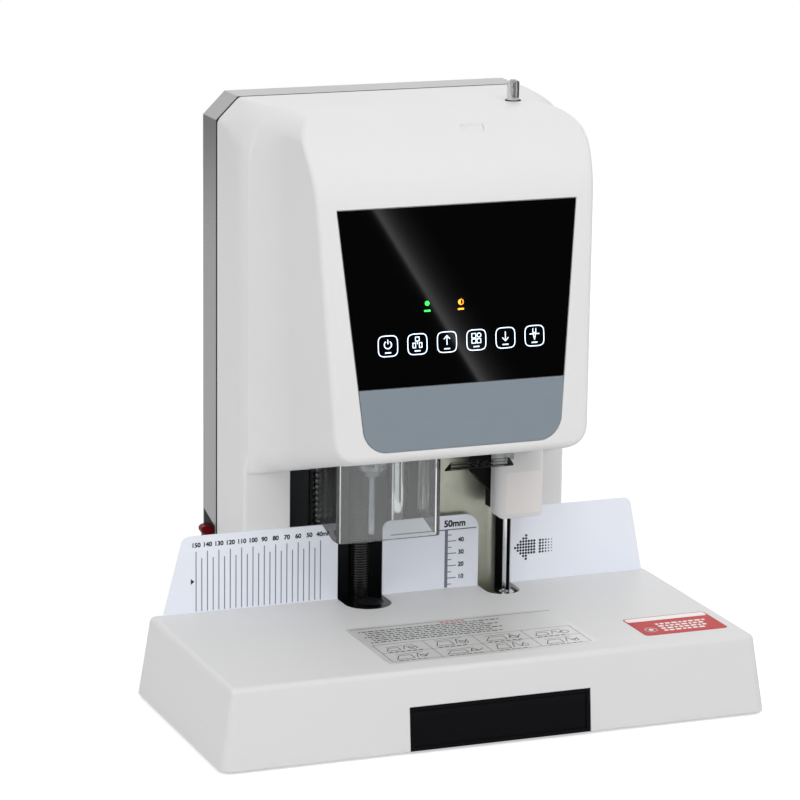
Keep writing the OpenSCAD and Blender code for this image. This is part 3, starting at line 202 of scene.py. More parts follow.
def glow(name, colour, power):
    """Lit mark: light from a small lamp behind a printed mask."""
    m, t = new_mat(name)
    b = node(t, "ShaderNodeBsdfPrincipled", (0, 0), in_Roughness=0.3)
    b.inputs["Base Color"].default_value = lin(colour)
    b.inputs["Emission Color"].default_value = lin(colour)
    b.inputs["Emission Strength"].default_value = power
    finish_mat(t, b.outputs["BSDF"])
    return m


# ABS mouldings. Satin white spreads light softly over the covers; the base has a duller mould texture.
white = moulded("abs_white_satin", "EDEDED", 0.36, edge=0.0008, spec=0.04)
base_white = moulded("abs_white_base", "EAEAEA", 0.4, edge=0.0008, spec=0.08)
# grey with a fine spark texture: dark face on, bright where it is seen along its surface
grey = moulded("abs_grey_textured", "7E7E7E", 0.28, edge=0.0008, grain_strength=0.12, spec=1.0)
trim = moulded("abs_trim_grey_satin", "87929B", 0.42, edge=0.0003, grain_scale=1500.0)
# blacks, from the dull nylon of brackets to the gloss of the ribbed hose
black = moulded("nylon_black_satin", "17181A", 0.42, edge=0.0005)
bezel_black = moulded("nylon_black_matt", "0E0E0F", 0.6, edge=0.0004, grain_strength=0.1, spec=0.12)
drawer_black = moulded("abs_black_drawer_satin", "0C0C10", 0.4, edge=0.0005, vary=0.02, grain_strength=0.03, spec=0.06)
black_gloss = moulded("abs_black_gloss", "08080A", 0.22, edge=0.0005, vary=0.02, grain_strength=0.01, spec=0.3)
hose_black = moulded("hose_pvc_black_gloss", "0E0F10", 0.2, edge=0.0002, vary=0.02, grain_strength=0.02, spec=0.9)
rubber = moulded("rubber_black_moulded", "1A1A1B", 0.7, edge=0.0006, grain_strength=0.3)
red = moulded("rocker_red_satin", "6E0810", 0.42, edge=0.0005, grain_strength=0.02, spec=0.1)
board = moulded("circuit_board_mask", "1E5A38", 0.35, edge=0.0002)
# thin PVC sheet: the pale blue glows a little, painted light that brightens it in the shade under the head
fence_sheet = moulded("pvc_sheet_printed_pale_blue", "EEF2FC", 0.3, edge=0.0003, vary=0.02, grain_strength=0.01,
                      painted_glow=0.09)
# float glass printed black on its back: a clean mirror over a black ground
panel = moulded("glass_back_printed_black", "050506", 0.03, edge=0.0002, vary=0.01, grain_strength=0.0, spec=0.6)
# metals. Chrome mirrors in sharp stripes; ground and turned steel draw the highlight out along the marks.
chrome = metal("steel_chrome_plated", "E6E7E8", 0.16)
steel = metal("steel_ground", "A9ACB0", 0.28, stretch=(1, 1, 12), brush=0.3)
# passivated zinc: a cloudy, faintly olive skin
zinc = metal("steel_zinc_passivated", "C6C9B9", 0.34, brush=0.3, scale=220.0, metallic=0.7, drift=0.66, patch=60.0)
painted = metal("steel_powder_coated_grey", "53565B", 0.5, metallic=0.2, brush=0.4, scale=1200.0)
alu = metal("aluminium_machined", "BFC2C5", 0.36, brush=0.3, stretch=(1, 8, 1))
brass = metal("brass_turned", "C7A45A", 0.3, brush=0.3, stretch=(1, 1, 10))
enamel = metal("motor_enamel_black", "1B1C1E", 0.4, metallic=0.0)
# clear sheets: the bent guard looks smoky through its two walls, the flat lip all but vanishes
acrylic = clear("polycarbonate_clear_bent", "F0F2F2", milk=0.06)
film = clear("polycarbonate_clear_lip", "F2F4F4", milk=0.02, ior=1.12)
# inks and lamps
ink_dark = ink("ink_dark_grey", "16181D")
ink_grey = ink("ink_mid_grey", "767C8A")
ink_black = ink("ink_black", "17191D")
ink_red = ink("ink_red_soft", "D9848A")
ink_label = ink("ink_label_dark", "24262A")
lit_white = glow("backlit_icon_white", "DCEBFA", 1.1)
lit_green = glow("led_green", "2BE04A", 3.0)
lit_amber = glow("led_amber", "FF9A2A", 2.2)
# stickers: a dull silver film, and smooth vinyl
silver = metal("label_silver_film", "EAEAE8", 0.42, brush=0.05, scale=900.0, metallic=0.2)
label_red = moulded("label_vinyl_red", "C4161C", 0.3, edge=0.0001, grain_strength=0.0, spec=0.06)
label_white = moulded("label_vinyl_white", "F4F2F0", 0.35, edge=0.0001, grain_strength=0.0)
sticker_pale = moulded("sticker_film_pale", "F5F2F0", 0.3, edge=0.0001, grain_strength=0.0)

BY_SLOT = {
    "cover_white": white, "cover_grey": grey, "base_white": base_white, "fence_sheet": fence_sheet,
    "glass_black": panel, "trim_grey": trim, "circuit_board": board, "clear_sheet": acrylic,
    "black_plastic": black, "black_gloss": black_gloss, "rubber": rubber, "steel_frame": painted,
    "zinc_steel": zinc, "cast_aluminium": alu, "chrome": chrome, "tool_steel": steel,
    "motor_black": enamel, "heater_brass": brass, "belt_rubber": rubber, "supply_case": alu,
    "rocker_red": red, "screw_zinc": zinc,
}
# pieces that share a slot with others but don't look like them
BY_NODE = {
    "switch_bezel": bezel_black, "press_arm": bezel_black, "scrap_hose": hose_black, "wire_loom": hose_black,
    "scrap_drawer": drawer_black, "rivet_visor": film,
}
for part in frame["record"]["subparts"]:
    mats = NODES[part["node"]].data.materials
    mats.clear()
    mats.append(BY_NODE.get(part["node"], BY_SLOT[part["material_slot"]]))


# ---------------------------------------------------------------- mesh tools
def mesh_object(name, verts, faces, mat, scale=MM):
    me = bpy.data.meshes.new(name)
    me.from_pydata([tuple(c * scale for c in v) for v in verts], [], faces)
    me.validate()
    me.update()
    o = bpy.data.objects.new(name, me)
    bpy.context.scene.collection.objects.link(o)
    if mat:
        me.materials.append(mat)
    return o


def weld(o, dist=2e-6):
    """Joins doubled points and turns all faces outwards."""
    bm = bmesh.new()
    bm.from_mesh(o.data)
    bmesh.ops.remove_doubles(bm, verts=bm.verts, dist=dist)
    bmesh.ops.dissolve_degenerate(bm, edges=bm.edges, dist=1e-6)
    bmesh.ops.recalc_face_normals(bm, faces=bm.faces)
    bm.to_mesh(o.data)
    bm.free()


def smooth(o, angle=32):
    o.data.polygons.foreach_set("use_smooth", [True] * len(o.data.polygons))
    o.data.set_sharp_from_angle(angle=math.radians(angle))


def apply(o):
    """Turns the object's modifiers into its mesh."""
    dg = bpy.context.evaluated_depsgraph_get()
    me = bpy.data.meshes.new_from_object(o.evaluated_get(dg))
    o.modifiers.clear()
    o.data = me


def cut(o, *tools):
    for tool in tools:
        m = o.modifiers.new("cut", "BOOLEAN")
        m.operation = "DIFFERENCE"
        m.solver = "EXACT"
        m.object = tool
        apply(o)
        bpy.data.objects.remove(tool)


def weighted(o):
    """Normals that follow the large faces, so that a cut leaves no dents in the shading."""
    m = o.modifiers.new("normals", "WEIGHTED_NORMAL")
    m.keep_sharp = True
    apply(o)


def prism(name, outline, a, b, place, mat=None):
    """Extrusion of a 2-D outline from a to b; place turns (u, v, w) into x, y, z in mm."""
    n = len(outline)
    verts = [place(u, v, w) for w in (a, b) for u, v in outline]
    faces = [list(range(n - 1, -1, -1)), list(range(n, 2 * n))]
    faces += [[i, (i + 1) % n, n + (i + 1) % n, n + i] for i in range(n)]
    o = mesh_object(name, verts, faces, mat)
    weld(o)
    return o


def disc(cx, cy, r, n=48, a0=0.0, a1=360.0):
    """Points of a circle, or of the arc from a0 to a1 degrees."""
    full = abs(a1 - a0) >= 360
    k = n if full else n + 1
    return [(cx + r * math.cos(math.radians(a0 + (a1 - a0) * i / n)),
             cy + r * math.sin(math.radians(a0 + (a1 - a0) * i / n))) for i in range(k)]


def round_rect(x0, y0, x1, y1, r, n=8):
    out = []
    for cx, cy, a in ((x1 - r, y1 - r, 0), (x0 + r, y1 - r, 90), (x0 + r, y0 + r, 180), (x1 - r, y0 + r, 270)):
        out += disc(cx, cy, r, n, a, a + 90)
    return out


def stroke(points, w, closed=False):
    """Flat band along a line, as quads."""
    out = []
    n = len(points)
    for i in range(n if closed else n - 1):
        (x0, y0), (x1, y1) = points[i], points[(i + 1) % n]
        d = math.hypot(x1 - x0, y1 - y0) or 1.0
        px, py = -(y1 - y0) / d * w / 2, (x1 - x0) / d * w / 2
        ex, ey = (x1 - x0) / d * w * 0.2, (y1 - y0) / d * w * 0.2
        out.append([(x0 - px - ex, y0 - py - ey), (x1 - px + ex, y1 - py + ey),
                    (x1 + px + ex, y1 + py + ey), (x0 + px - ex, y0 + py - ey)])
    return out


# ---------------------------------------------------------------- head and column
def under_z(y, t=0.0):
    """Height of the sloping underside; t is the depth below the skin here and in all that follows."""
    return FACE_Z + t - (y - FACE_Y) * math.tan(UNDER)


def arc_in(r, d):
    """How far a rounding of radius r pulls a surface in at the distance d from its edge."""
    return 0.0 if d >= r else r - math.sqrt(max(0.0, r * r - (r - max(d, 0.0)) ** 2))


def soft_min(a, b, k):
    """Smaller of two, with the corner between them rounded over the width k."""
    h = max(k - abs(a - b), 0.0) / k
    return min(a, b) - h * h * k / 4


def lip_centre(t):
    """Centre of the rounding between the face and the underside, as y and z."""
    r = LIP_R - t
    a = (-math.cos(LEAN), math.sin(LEAN))
    b = (-math.sin(UNDER), -math.cos(UNDER))
    k0 = a[0] * FACE_Y + a[1] * FACE_Z - t - r
    k1 = b[0] * FACE_Y + b[1] * FACE_Z - t - r
    det = a[0] * b[1] - a[1] * b[0]
    return (k0 * b[1] - k1 * a[1]) / det, (a[0] * k1 - b[0] * k0) / det


def front_at(z, t=0.0):
    """Front of the cover at a height: column, underside, lip, leaning face and roll."""
    cy, cz = lip_centre(t)
    r = LIP_R - t
    if z > ROLL_Z + (ROLL_R - t) * math.sin(LEAN):
        return ROLL_Y - math.sqrt(max(0.0, (ROLL_R - t) ** 2 - (z - ROLL_Z) ** 2))
    if z > cz + r * math.sin(LEAN):
        return EDGE_Y + t / math.cos(LEAN) - (EDGE_Z - z) * math.tan(LEAN)
    if z > cz - r * math.cos(UNDER):
        return cy - math.sqrt(max(0.0, r * r - (z - cz) ** 2))
    return min(COL_Y + t, FACE_Y + (FACE_Z + t / math.cos(UNDER) - z) / math.tan(UNDER))


def half_at(y, z, t=0.0):
    """Half width of the cover: a tapered head that sweeps out in a cove into the column."""
    plain = FACE_HALF + DRAFT * (z - FACE_Z) + FLARE * (y - FACE_Y)
    u = min(1.0, max(0.0, (y - COL_Y - t + COVE) / COVE))
    sweep = (COL_HALF - plain) * (0.75 * u ** 2.2 + 0.25 * (1 - math.sqrt(1 - u * u)))
    flank = plain + sweep + max(0.0, y - COL_Y) * 0.9
    low = min(1.0, max(0.0, (z - 186) / 14))
    half = low * soft_min(flank, COL_HALF, 16.0) + (1 - low) * min(flank, COL_HALF - arc_in(3.0, y - COL_Y - t))
    if y < COL_Y + 3:
        half -= arc_in(LOW_R - t, (z - under_z(y, t)) * math.cos(UNDER)) * max(0.0, min(1.0, (COL_Y - 1 - y) / 4))
        half -= arc_in(CREASE_R, y - front_at(z, t)) if front_at(z, t) < COL_Y - 8 else 0.0
    # the chamfer: crisp at the rear joint, melting into the flank towards the front
    blend = 3.0 + 30.0 * min(1.0, max(0.0, (108 - y) / 56))
    half = soft_min(half, COL_HALF - (z - (TOP_Z - CHAMFER)), blend)
    return half - arc_in(2.0 + 15.0 * min(1.0, max(0.0, (108 - y) / 60)), TOP_Z - t - z) - t


def shell_rings(t, n_b=46):
    """Level outlines of the cover from the desk up, dense where it bends."""
    cy, cz = lip_centre(t)
    sharp = cz - (LIP_R - t) * math.cos(UNDER)
    low = under_z(COL_Y, t)
    zs = [2.0, 60.0, 130.0, 176.0, low - 6, low - 2]
    zs += [low + (sharp - low) * i / 22 for i in range(23)]
    zs += [sharp + (LIP_R - t) * 1.02 * i / 8 for i in range(1, 9)]
    zs += [FACE_Z + t + h for h in (9, 10.5, 12, 14, 16, 18, 21, 25, 32, 45, 70, 100, 130, 160)]
    a0 = math.degrees(LEAN)
    zs += [ROLL_Z + (ROLL_R - t) * math.sin(math.radians(a0 + (89 - a0) * i / 34)) for i in range(35)]
    zs += [TOP_Z - CHAMFER + d for d in (-16, -13, -10, -8, -6, -4, -3, -2, -1, 0, 1, 2, 3, 4, 6, 8, 10, 12, 14)]
    zs += [TOP_Z - t - d for d in (15, 12, 10, 8.5, 7, 5.8, 4.6, 3.6, 2.7, 2.0, 1.4, 0.9, 0.5, 0.2, 0.05, 0)]
    zs = sorted(set(round(z, 4) for z in zs if z <= TOP_Z - t))
    zs = [z for i, z in enumerate(zs) if i == 0 or z - zs[i - 1] > 0.004]
    back = SEAM_Y + (10 if t else -2.3)
    fixed = [back, 116, 108, 100, 92, 84, 76, 70, 66, 63, 61, 59.5, 58, 57, 56.3, 55.7, 55.3, 55.05, 54.8, 54.4, 53.9,
             53.2, 52.2]
    if t:
        fixed = [y + t if y < 70 else y for y in fixed]
    rings = []
    for z in zs:
        nose = front_at(z, t)
        ys = [max(y, nose) for y in fixed]
        start = ys[-1]
        for i in range(1, n_b + 1):
            f = i / n_b
            ys.append(start + (nose - start) * (1 - (1 - f) ** 1.8 * (1 - 0.35 * f)))
        ys[-1] = nose
        left = [(-half_at(y, z, t), y, z) for y in ys]
        rings.append(left + [(-x, y, zz) for x, y, zz in reversed(left)])
    return rings


def loft(name, rings, mat=None):
    m = len(rings[0])
    verts = [v for r in rings for v in r]
    faces = []
    for k in range(len(rings) - 1):
        for i in range(m):
            j = (i + 1) % m
            faces.append([k * m + i, (k + 1) * m + i, (k + 1) * m + j, k * m + j])
    faces.append(list(range(m)))
    last = (len(rings) - 1) * m
    faces.append(list(range(last + m - 1, last - 1, -1)))
    o = mesh_object(name, verts, faces, mat)
    weld(o)
    return o


def face_w(s):
    """Half width of the glass and its trim at the distance s down the face."""
    return 103.5 - 0.0967 * s


def on_face(u, s, w):
    """Point of the leaning face: u across, s down the face, w inward."""
    return (u, EDGE_Y - s * math.sin(LEAN) + w * math.cos(LEAN), EDGE_Z - s * math.cos(LEAN) - w * math.sin(LEAN))


def trim_outline(g, top=2.0, length=198.0, r=20.0, n=12):
    """Outline of the glass and trim, grown by g."""
    s, r = length + g, r + g
    w = face_w(s - r) + g
    low = disc(w - r, -s + r, r, n, -90, -5) + [(face_w(top - g) + g, -(top - g)), (-face_w(top - g) - g, -(top - g))]
    return low + disc(-w + r, -s + r, r, n, 185, 270)


def build_cover():
    """Head and column in one moulding, hollow, with the work opening below and the seat of the glass."""
    body = loft("front_cover_skin", shell_rings(0), white)
    inner = loft("inner", shell_rings(SHELL, 20))
    tools = [inner]
    # room inside the column below the head, and its open front between the jambs
    tools.append(prism("well", [(-142, -5), (142, -5), (142, 190), (-142, 190)], 58, 140, lambda u, v, w: (u, w, v)))
    tools.append(prism("mouth", round_rect(-104, -20, 104, 186.5, 0.8), 40, 70, lambda u, v, w: (u, w, v)))
    y0 = FACE_Y + 26
    low0, low1 = under_z(y0), under_z(57)
    tools.append(prism("belly", [(y0, low0 - 20), (57, low1 - 20), (57, low1 + 14), (y0, low0 + 14)],
                       -98, 98, lambda u, v, w: (w, u, v)))
    tools.append(prism("seat", trim_outline(0.75), 1.5, -6, lambda u, v, w: on_face(u, -v, w)))
    tools.append(prism("bushing", disc(RIVET_X, AXIS_Y, 5.6, 64), 460, 500, lambda u, v, w: (u, v, w)))
    scoop = [(x, y) for x, y in disc(26, -14.5, 9.8, 64) if y < -12]
    tools.append(prism("scoop", scoop, TOP_Z - 10.1, TOP_Z + 8, lambda u, v, w: (u, v, w + 0.473 * (v + 12))))
    cut(body, *tools)
    smooth(body, 28)
    weighted(body)
    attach(body, "machine")
    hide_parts("front_cover")


def build_base():
    """Frustum with round upright corners and a soft top edge, then its notches and drawer opening."""
    rings = []
    zs = [(2.0, 0.6), (2.6, 0.0), (12, 0), (30, 0), (50, 0), (60, 0)]
    zs += [(63 + 5 * math.sin(math.radians(a)), 5 - 5 * math.cos(math.radians(a))) for a in range(0, 91, 9)]

    def ring(z, pull, t=0.0):
        f = min(1.0, max(0.0, (z - 3) / 60))
        hw = BASE_HALF - BASE_PULL_X * f - pull - t
        fy = FRONT_Y + BASE_PULL_Y * f + pull + t
        r = max(BASE_CORNER - 5 * f - pull * 0.5, 1.2)
        left = disc(-hw + r, fy + r, r, 10, 180, 270)
        right = disc(hw - r, fy + r, r, 10, 270, 360)
        return [(x, y, z) for x, y in left + right + [(hw, COL_Y - t), (-hw, COL_Y - t)]]

    for z, pull in zs:
        rings.append(ring(z, pull))
    body = loft("base_cover_skin", rings, base_white)
    inner = loft("base_inner", [ring(z, 0, 3.0) for z in (0.5, 30, 60, 65)])
    tools = [inner]
    for x0, x1 in ((-61.5, -21.0), (66.5, 96.5)):
        r = (x1 - x0) / 2
        yc = FENCE_Y - (14 + r + 4) + r
        arc = disc((x0 + x1) / 2, yc, r, 40, 180, 360)
        tools.append(prism("notch", arc + [(x1, 75), (x0, 75)], 48, 80, lambda u, v, w: (u, v, w)))
    tools.append(prism("drawer_mouth", [(-78.5, -4), (78.5, -4), (78.5, 38.5), (-78.5, 38.5)], -175, -131,
                       lambda u, v, w: (u, w, v)))
    tools.append(prism("back", [(-142, -4), (142, -4), (142, 60), (-142, 60)], 35, 75, lambda u, v, w: (u, w, v)))
    cut(body, *tools)
    smooth(body, 30)
    weighted(body)
    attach(body, "machine")
    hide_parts("base_cover")


def build_seam():
    """Painted shade: a dark strip fills the joint between the two covers, just below their skins, where the gap is in
    shade.
    """
    def outline(t):
        w, c = COL_HALF - t, CHAMFER - t * math.tan(math.radians(22.5))
        return [(-w, 3), (-w, TOP_Z - t - c), (c - w, TOP_Z - t), (w - c, TOP_Z - t), (w, TOP_Z - t - c), (w, 3)]
    out, inn = outline(0.1), outline(0.95)
    verts, faces = [], []
    for y in (SEAM_Y - 2.25, SEAM_Y + 1.15):
        verts += [(x, y, z) for x, z in out + inn]
    for i in range(5):
        a, b, c, d = i, i + 1, i + 7, i + 6
        faces += [[a, b, c, d], [a + 12, d + 12, c + 12, b + 12], [a, a + 12, b + 12, b], [d, c, c + 12, d + 12]]
    faces += [[0, 6, 18, 12], [5, 17, 23, 11]]
    o = mesh_object("seam_painted_shade", verts, faces, bezel_black)
    weld(o)
    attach(o, "machine")


def build_rocker():
    """Rocker with its saddle-shaped face, standing out of the bezel and tipped to one side."""
    half = [(-9.4, 0.8), (-10.4, 2.2), (-11.8, 3.6), (-12.8, 5.0), (-13.2, 6.4), (-12.9, 7.8), (-12.0, 8.9),
            (-10.6, 9.6), (-8.8, 9.9), (-1.4, 9.9), (3.0, 3.0)]
    outline = [(u, -v) for u, v in reversed(half)] + half
    c, s = math.cos(math.radians(7)), math.sin(math.radians(7))
    px, py, pz = ROCKER_PIN

    def place(u, v, w):
        pinch = 1 - 0.4 * max(0.0, min(1.0, (-u - 5.5) / 7.7))
        return (px + u * c + v * s, py + w * pinch, pz - u * s + v * c)

    o = prism("rocker_body", outline, -6.8, 6.8, place, red)
    smooth(o, 40)
    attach(o, "rocker")
    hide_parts("power_rocker")


def build_visor_rim():
    """Painted shade: dark bars stand in for the cut edges of the clear lip, which a thin sheet shows nearly black as
    it gathers light in them.
    """
    x0, x1, y0, z0 = 14.0, 76.0, 3.0, 185.3
    c, s = math.cos(math.radians(12)), math.sin(math.radians(12))
    loop = [(x0, 0.0), (x1, 0.0), (x1 + 1, 12.0), (x0 + 10, 12.0)]
    bars = [(loop[0], loop[1], 0.3, 0.35), (loop[1], loop[2], 1.3, 1.5), (loop[2], loop[3], 0.3, 0.3),
            (loop[3], loop[0], 0.7, 0.7)]
    verts, faces = [], []
    for (ax, ay), (bx, by), w, high in bars:
        d = math.hypot(bx - ax, by - ay)
        px, py = -(by - ay) / d * w, (bx - ax) / d * w
        n = len(verts)
        for lift in (1.5 - high, 1.55):
            for u, v in ((ax, ay), (bx, by), (bx + px, by + py), (ax + px, ay + py)):
                verts.append((u, y0 + v * c - lift * s, z0 + v * s + lift * c))
        faces += [[n, n + 3, n + 2, n + 1], [n + 4, n + 5, n + 6, n + 7]]
        faces += [[n + i, n + (i + 1) % 4, n + 4 + (i + 1) % 4, n + 4 + i] for i in range(4)]
    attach(mesh_object("visor_edge_shade", verts, faces, black_gloss), "machine")


build_cover()
build_base()
build_visor_rim()
build_seam()
build_rocker()


# ---------------------------------------------------------------- labels
def plate(name, outline, thick, place, mat):
    o = prism(name, outline, 0, thick, place, mat)
    smooth(o, 30)
    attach(o, "machine")


def text(name, words, size, place, mat, bold):
    """Lettering as flat mesh; bold thickens the strokes with four copies shifted by that much."""
    c = bpy.data.curves.new(name, "FONT")
    c.body = words
    c.size = size
    c.align_x = "CENTER"
    c.align_y = "CENTER"
    c.extrude = 0.02
    tmp = bpy.data.objects.new(name + "_curve", c)
    bpy.context.scene.collection.objects.link(tmp)
    dg = bpy.context.evaluated_depsgraph_get()
    me = bpy.data.meshes.new_from_object(tmp.evaluated_get(dg))
    bpy.data.objects.remove(tmp)
    polys = [list(q.vertices) for q in me.polygons]
    verts, faces = [], []
    for k, (dx, dy) in enumerate([(0, 0), (bold, bold), (-bold, bold), (bold, -bold), (-bold, -bold)]):
        n = len(verts)
        verts += [place(v.co.x + dx, v.co.y + dy, v.co.z + 0.002 * k) for v in me.vertices]
        faces += [[n + i for i in q] for q in polys]
    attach(mesh_object(name, verts, faces, mat), "machine")


def merged(name, outlines, thick, place, mat):
    """Many flat printed shapes as one mesh."""
    verts, faces = [], []
    for line in outlines:
        n, k = len(line), len(verts)
        verts += [place(u, v, 0) for u, v in line] + [place(u, v, thick) for u, v in line]
        faces += [[k + i for i in range(n)], [k + n + i for i in reversed(range(n))]]
        faces += [[k + i, k + n + i, k + n + (i + 1) % n, k + (i + 1) % n] for i in range(n)]
    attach(mesh_object(name, verts, faces, mat), "machine")


def rect(x0, y0, x1, y1):
    return [(x0, y0), (x1, y0), (x1, y1), (x0, y1)]


def on_fence(u, v, w):
    return (u, FENCE_Y - PRINT_GAP - w, v)


# scale of the left plate: one tick each 5 mm, numbered each 10 mm
ticks, numbers = [], []
for n in range(40, 151, 5):
    x = DRILL_X - n
    ticks.append(rect(x - 0.42, 69, x + 0.42, 120.7 if n % 10 == 0 else 114.7))
merged("scale_lines", ticks, 0.05, on_fence, ink_grey)
for n in range(40, 151, 10):
    label = str(n) if n > 40 else "40mm"
    x = DRILL_X - n + (3.0 if n == 40 else 0)
    text(f"scale_{n}", label, 5.2, lambda u, v, w, x=x: on_fence(x + u * 1.02, 126.0 + v, w), ink_dark, bold=0.2)
merged("scale_mark", [[(-191.6, 92.6), (-191.6, 97.4), (-188.4, 95.0)]], 0.05, on_fence, ink_black)

# depth scale of the middle plate
depth = [rect(-14, 119.0, 64.4, 120.0), rect(35.6, 68.6, 38.4, 119.3)]
DEPTH_STEP = 1.085  # the plate's scale runs this much longer than real millimetres, as measured in the photo
for n in range(5, 46, 5):
    z = 66.0 + DEPTH_STEP * n
    depth.append(rect(38.4, z - 0.4, 38.4 + (7.8 if n % 10 == 0 else 3.4), z + 0.4))
merged("depth_lines", depth, 0.05, on_fence, ink_grey)
for n in (10, 20, 30, 40):
    z = 66.6 + DEPTH_STEP * n
    text(f"depth_{n}", str(n), 5.2, lambda u, v, w, z=z: on_fence(50.5 + u, z + v, w), ink_dark, bold=0.2)
text("depth_50mm", "50mm", 7.8, lambda u, v, w: on_fence(44.6 + u, 124.6 + v, w), ink_black, bold=0.3)

# dotted arrow of the right plate
dots = []
for i in range(8):
    span = i if i < 5 else 2
    for j in range(-span, span + 1):
        dots.append(disc(100.8 + i * 2.55, 97.8 + j * 2.6, 1.12, 12))
for i in range(5):
    for j in range(-2, 3):
        dots.append(disc(124.0 + i * 2.7, 97.8 + j * 2.6, 1.12 - 0.15 * i, 12))
merged("arrow_dots", dots, 0.05, on_fence, ink_black)


# plain plates and stickers
def on_top(u, v, w):
    return (u, v, BASE_H + PRINT_GAP + w)


def printed(u, v, w):
    """On the label film, which is 0.15 mm thick."""
    return on_top(u, v, w + FILM)


def on_film(u, v, w):
    return on_top(u, v, w + FILM + 0.01)


merged("knob_grommet", stroke(disc(0, 0, 6.1, 48), 1.2, True), 0.4,
       lambda u, v, w: (RIVET_X + u, AXIS_Y + v, TOP_Z + PRINT_GAP + w), bezel_black)
plate("silver_label", round_rect(-87, -133.5, 97, -32.5, 2.5), FILM, on_top, silver)
lines = [rect(-87 + 3, -36.9, 97 - 3, -36.3)]


def frame_rect(x0, y0, x1, y1, w=0.45):
    return [rect(x0, y0, x1, y0 + w), rect(x0, y1 - w, x1, y1), rect(x0, y0, x0 + w, y1), rect(x1 - w, y0, x1, y1)]


lines += frame_rect(-82, -128.5, 92, -82) + [rect(-82, -105.6, 92, -105.2)]
for x in (-38.5, 5, 48.5):
    lines.append(rect(x - 0.2, -128.5, x + 0.2, -82))
for row in range(7):
    y, x = -46 - row * 5.0, -80.0 + (4 if row % 3 else 0)
    for k in range(30):
        w = 1.8 + (k * 7 + row * 5) % 5 * 0.9
        if x + w < 46 - (row * 11) % 19:
            lines.append(rect(x, y, x + w, y + 1.9))
        x += w + 1.3
merged("silver_label_rules", lines, 0.03, on_film, ink_label)
merged("silver_label_title", [rect(x, -41.8, x + 3.4, -38.4) for x in (-6, -1.4, 3.2, 7.8, 12.4)], 0.03,
       on_film, ink_red)
art = []
for k, x in enumerate((-79, -35.5, 8, 51.5)):
    for row in (0, 1):
        y = -102.5 - row * 23.4
        a, b = 12 + 3 * ((k + row) % 3), 9 + 2 * ((k * 2 + row) % 3)
        left, side = x + 3, x + 3 + a
        art += stroke([(left, y + 2), (left + a * 0.3, y + b), (side, y + b), (side, y + 2), (left, y + 2)], 0.75)
        art += stroke([(x + a + 6, y + 3), (x + a + 9, y + b + 2), (x + a + 13, y + 4), (x + a + 18, y + b)], 0.75)
        art += stroke(disc(x + 27 + k, y + 6, 3.6 - row, 16), 0.7, True)
        art += stroke([(x + 6, y + b + 3), (x + 30, y + b + 5)], 0.6)
        art += [rect(left + 5.2 * j, y - 2.6, left + 3.6 + 5.2 * j, y - 1.2) for j in range(6 - (k + row) % 2)]
merged("silver_label_figures", art, 0.03, on_film, ink_label)
plate("red_label", round_rect(140, -130.5, 215, -81.5, 4), FILM, on_top, label_red)
plate("red_label_band", round_rect(141.2, -92.0, 213.8, -82.7, 2.8), 0.05, printed, label_white)
bars = []
for i in range(4):
    x = 161.0
    for k in range(9):
        w = 2.6 + (k * 5 + i * 3) % 4 * 0.8
        if x + w < 211 - (9 * i) % 14:
            bars.append(rect(x, -104.4 - 6.0 * i, x + w, -101.0 - 6.0 * i))
        x += w + 1.5
merged("red_label_lines", bars, 0.04, printed, label_white)
merged("red_label_mark", stroke(disc(151, -116, 5.0, 28), 1.4, True) + [disc(151, -116, 2.2, 20)], 0.04,
       printed, label_white)

# blank sticker on the rivet shield

def on_shield(u, v, w):
    return (u, SHIELD_Y - PRINT_GAP - w, v)


plate("shield_sticker", round_rect(76.5, 138.5, 109.0, 175.0, 2.5), 0.08, on_shield, sticker_pale)


# ---------------------------------------------------------------- panel icons
def squircle(r, n=56, p=4.2):
    """Square with bowed sides and round corners, like the frames of the touch keys."""
    pts = []
    for i in range(n):
        a = 2 * math.pi * i / n
        c, s = math.cos(a), math.sin(a)
        k = (abs(c) ** p + abs(s) ** p) ** (-1 / p)
        pts.append((r * k * c, r * k * s))
    return pts


def face_place(cx, cz):
    """Placing function for a mark on the glass, about the point (cx, cz)."""
    s = (EDGE_Z - cz) / math.cos(LEAN)

    def place(u, v, w):
        return on_face(cx + u, s - v, -PRINT_GAP - w)
    return place


ICONS = {
    "power": stroke(disc(0, -0.3, 3.1, 20, 125, 415), 0.8) + stroke([(0, 0.4), (0, 3.9)], 0.8),
    "drill": (stroke([(-1.6, 4.4), (1.6, 4.4), (1.6, 1.2), (-1.6, 1.2)], 0.7, True)
              + stroke([(0, 1.0), (0, -1.2)], 0.8)
              + stroke([(-3.9, -4.2), (-3.9, -0.4), (-1.6, -0.4), (-1.6, -4.2)], 0.7, True)
              + stroke([(3.9, -4.2), (3.9, -0.4), (1.6, -0.4), (1.6, -4.2)], 0.7, True)),
    "up": stroke([(0, -3.6), (0, 3.4)], 0.8) + stroke([(-2.5, 1.2), (0, 3.8), (2.5, 1.2)], 0.8),
    "pages": (stroke([(-3.9, 0.4), (-0.4, 0.4), (-0.4, 3.9), (-3.9, 3.9)], 0.7, True)
              + stroke([(-3.9, -3.9), (-0.4, -3.9), (-0.4, -0.6), (-3.9, -0.6)], 0.7, True)
              + stroke([(0.6, -3.9), (3.9, -3.9), (3.9, -0.6), (0.6, -0.6)], 0.7, True)
              + stroke(disc(2.4, 2.4, 1.7, 16), 0.7, True)),
    "down": stroke([(0, 3.6), (0, -3.4)], 0.8) + stroke([(-2.5, -1.2), (0, -3.8), (2.5, -1.2)], 0.8),
    "rivet": (stroke([(-1.3, 4.6), (-1.3, 1.2), (1.3, 1.2), (1.3, 4.6)], 0.7)
              + stroke([(-4.2, 0.2), (4.2, 0.2)], 0.8) + stroke([(-1.0, -0.4), (0, -4.4), (1.0, -0.4)], 0.7)),
}
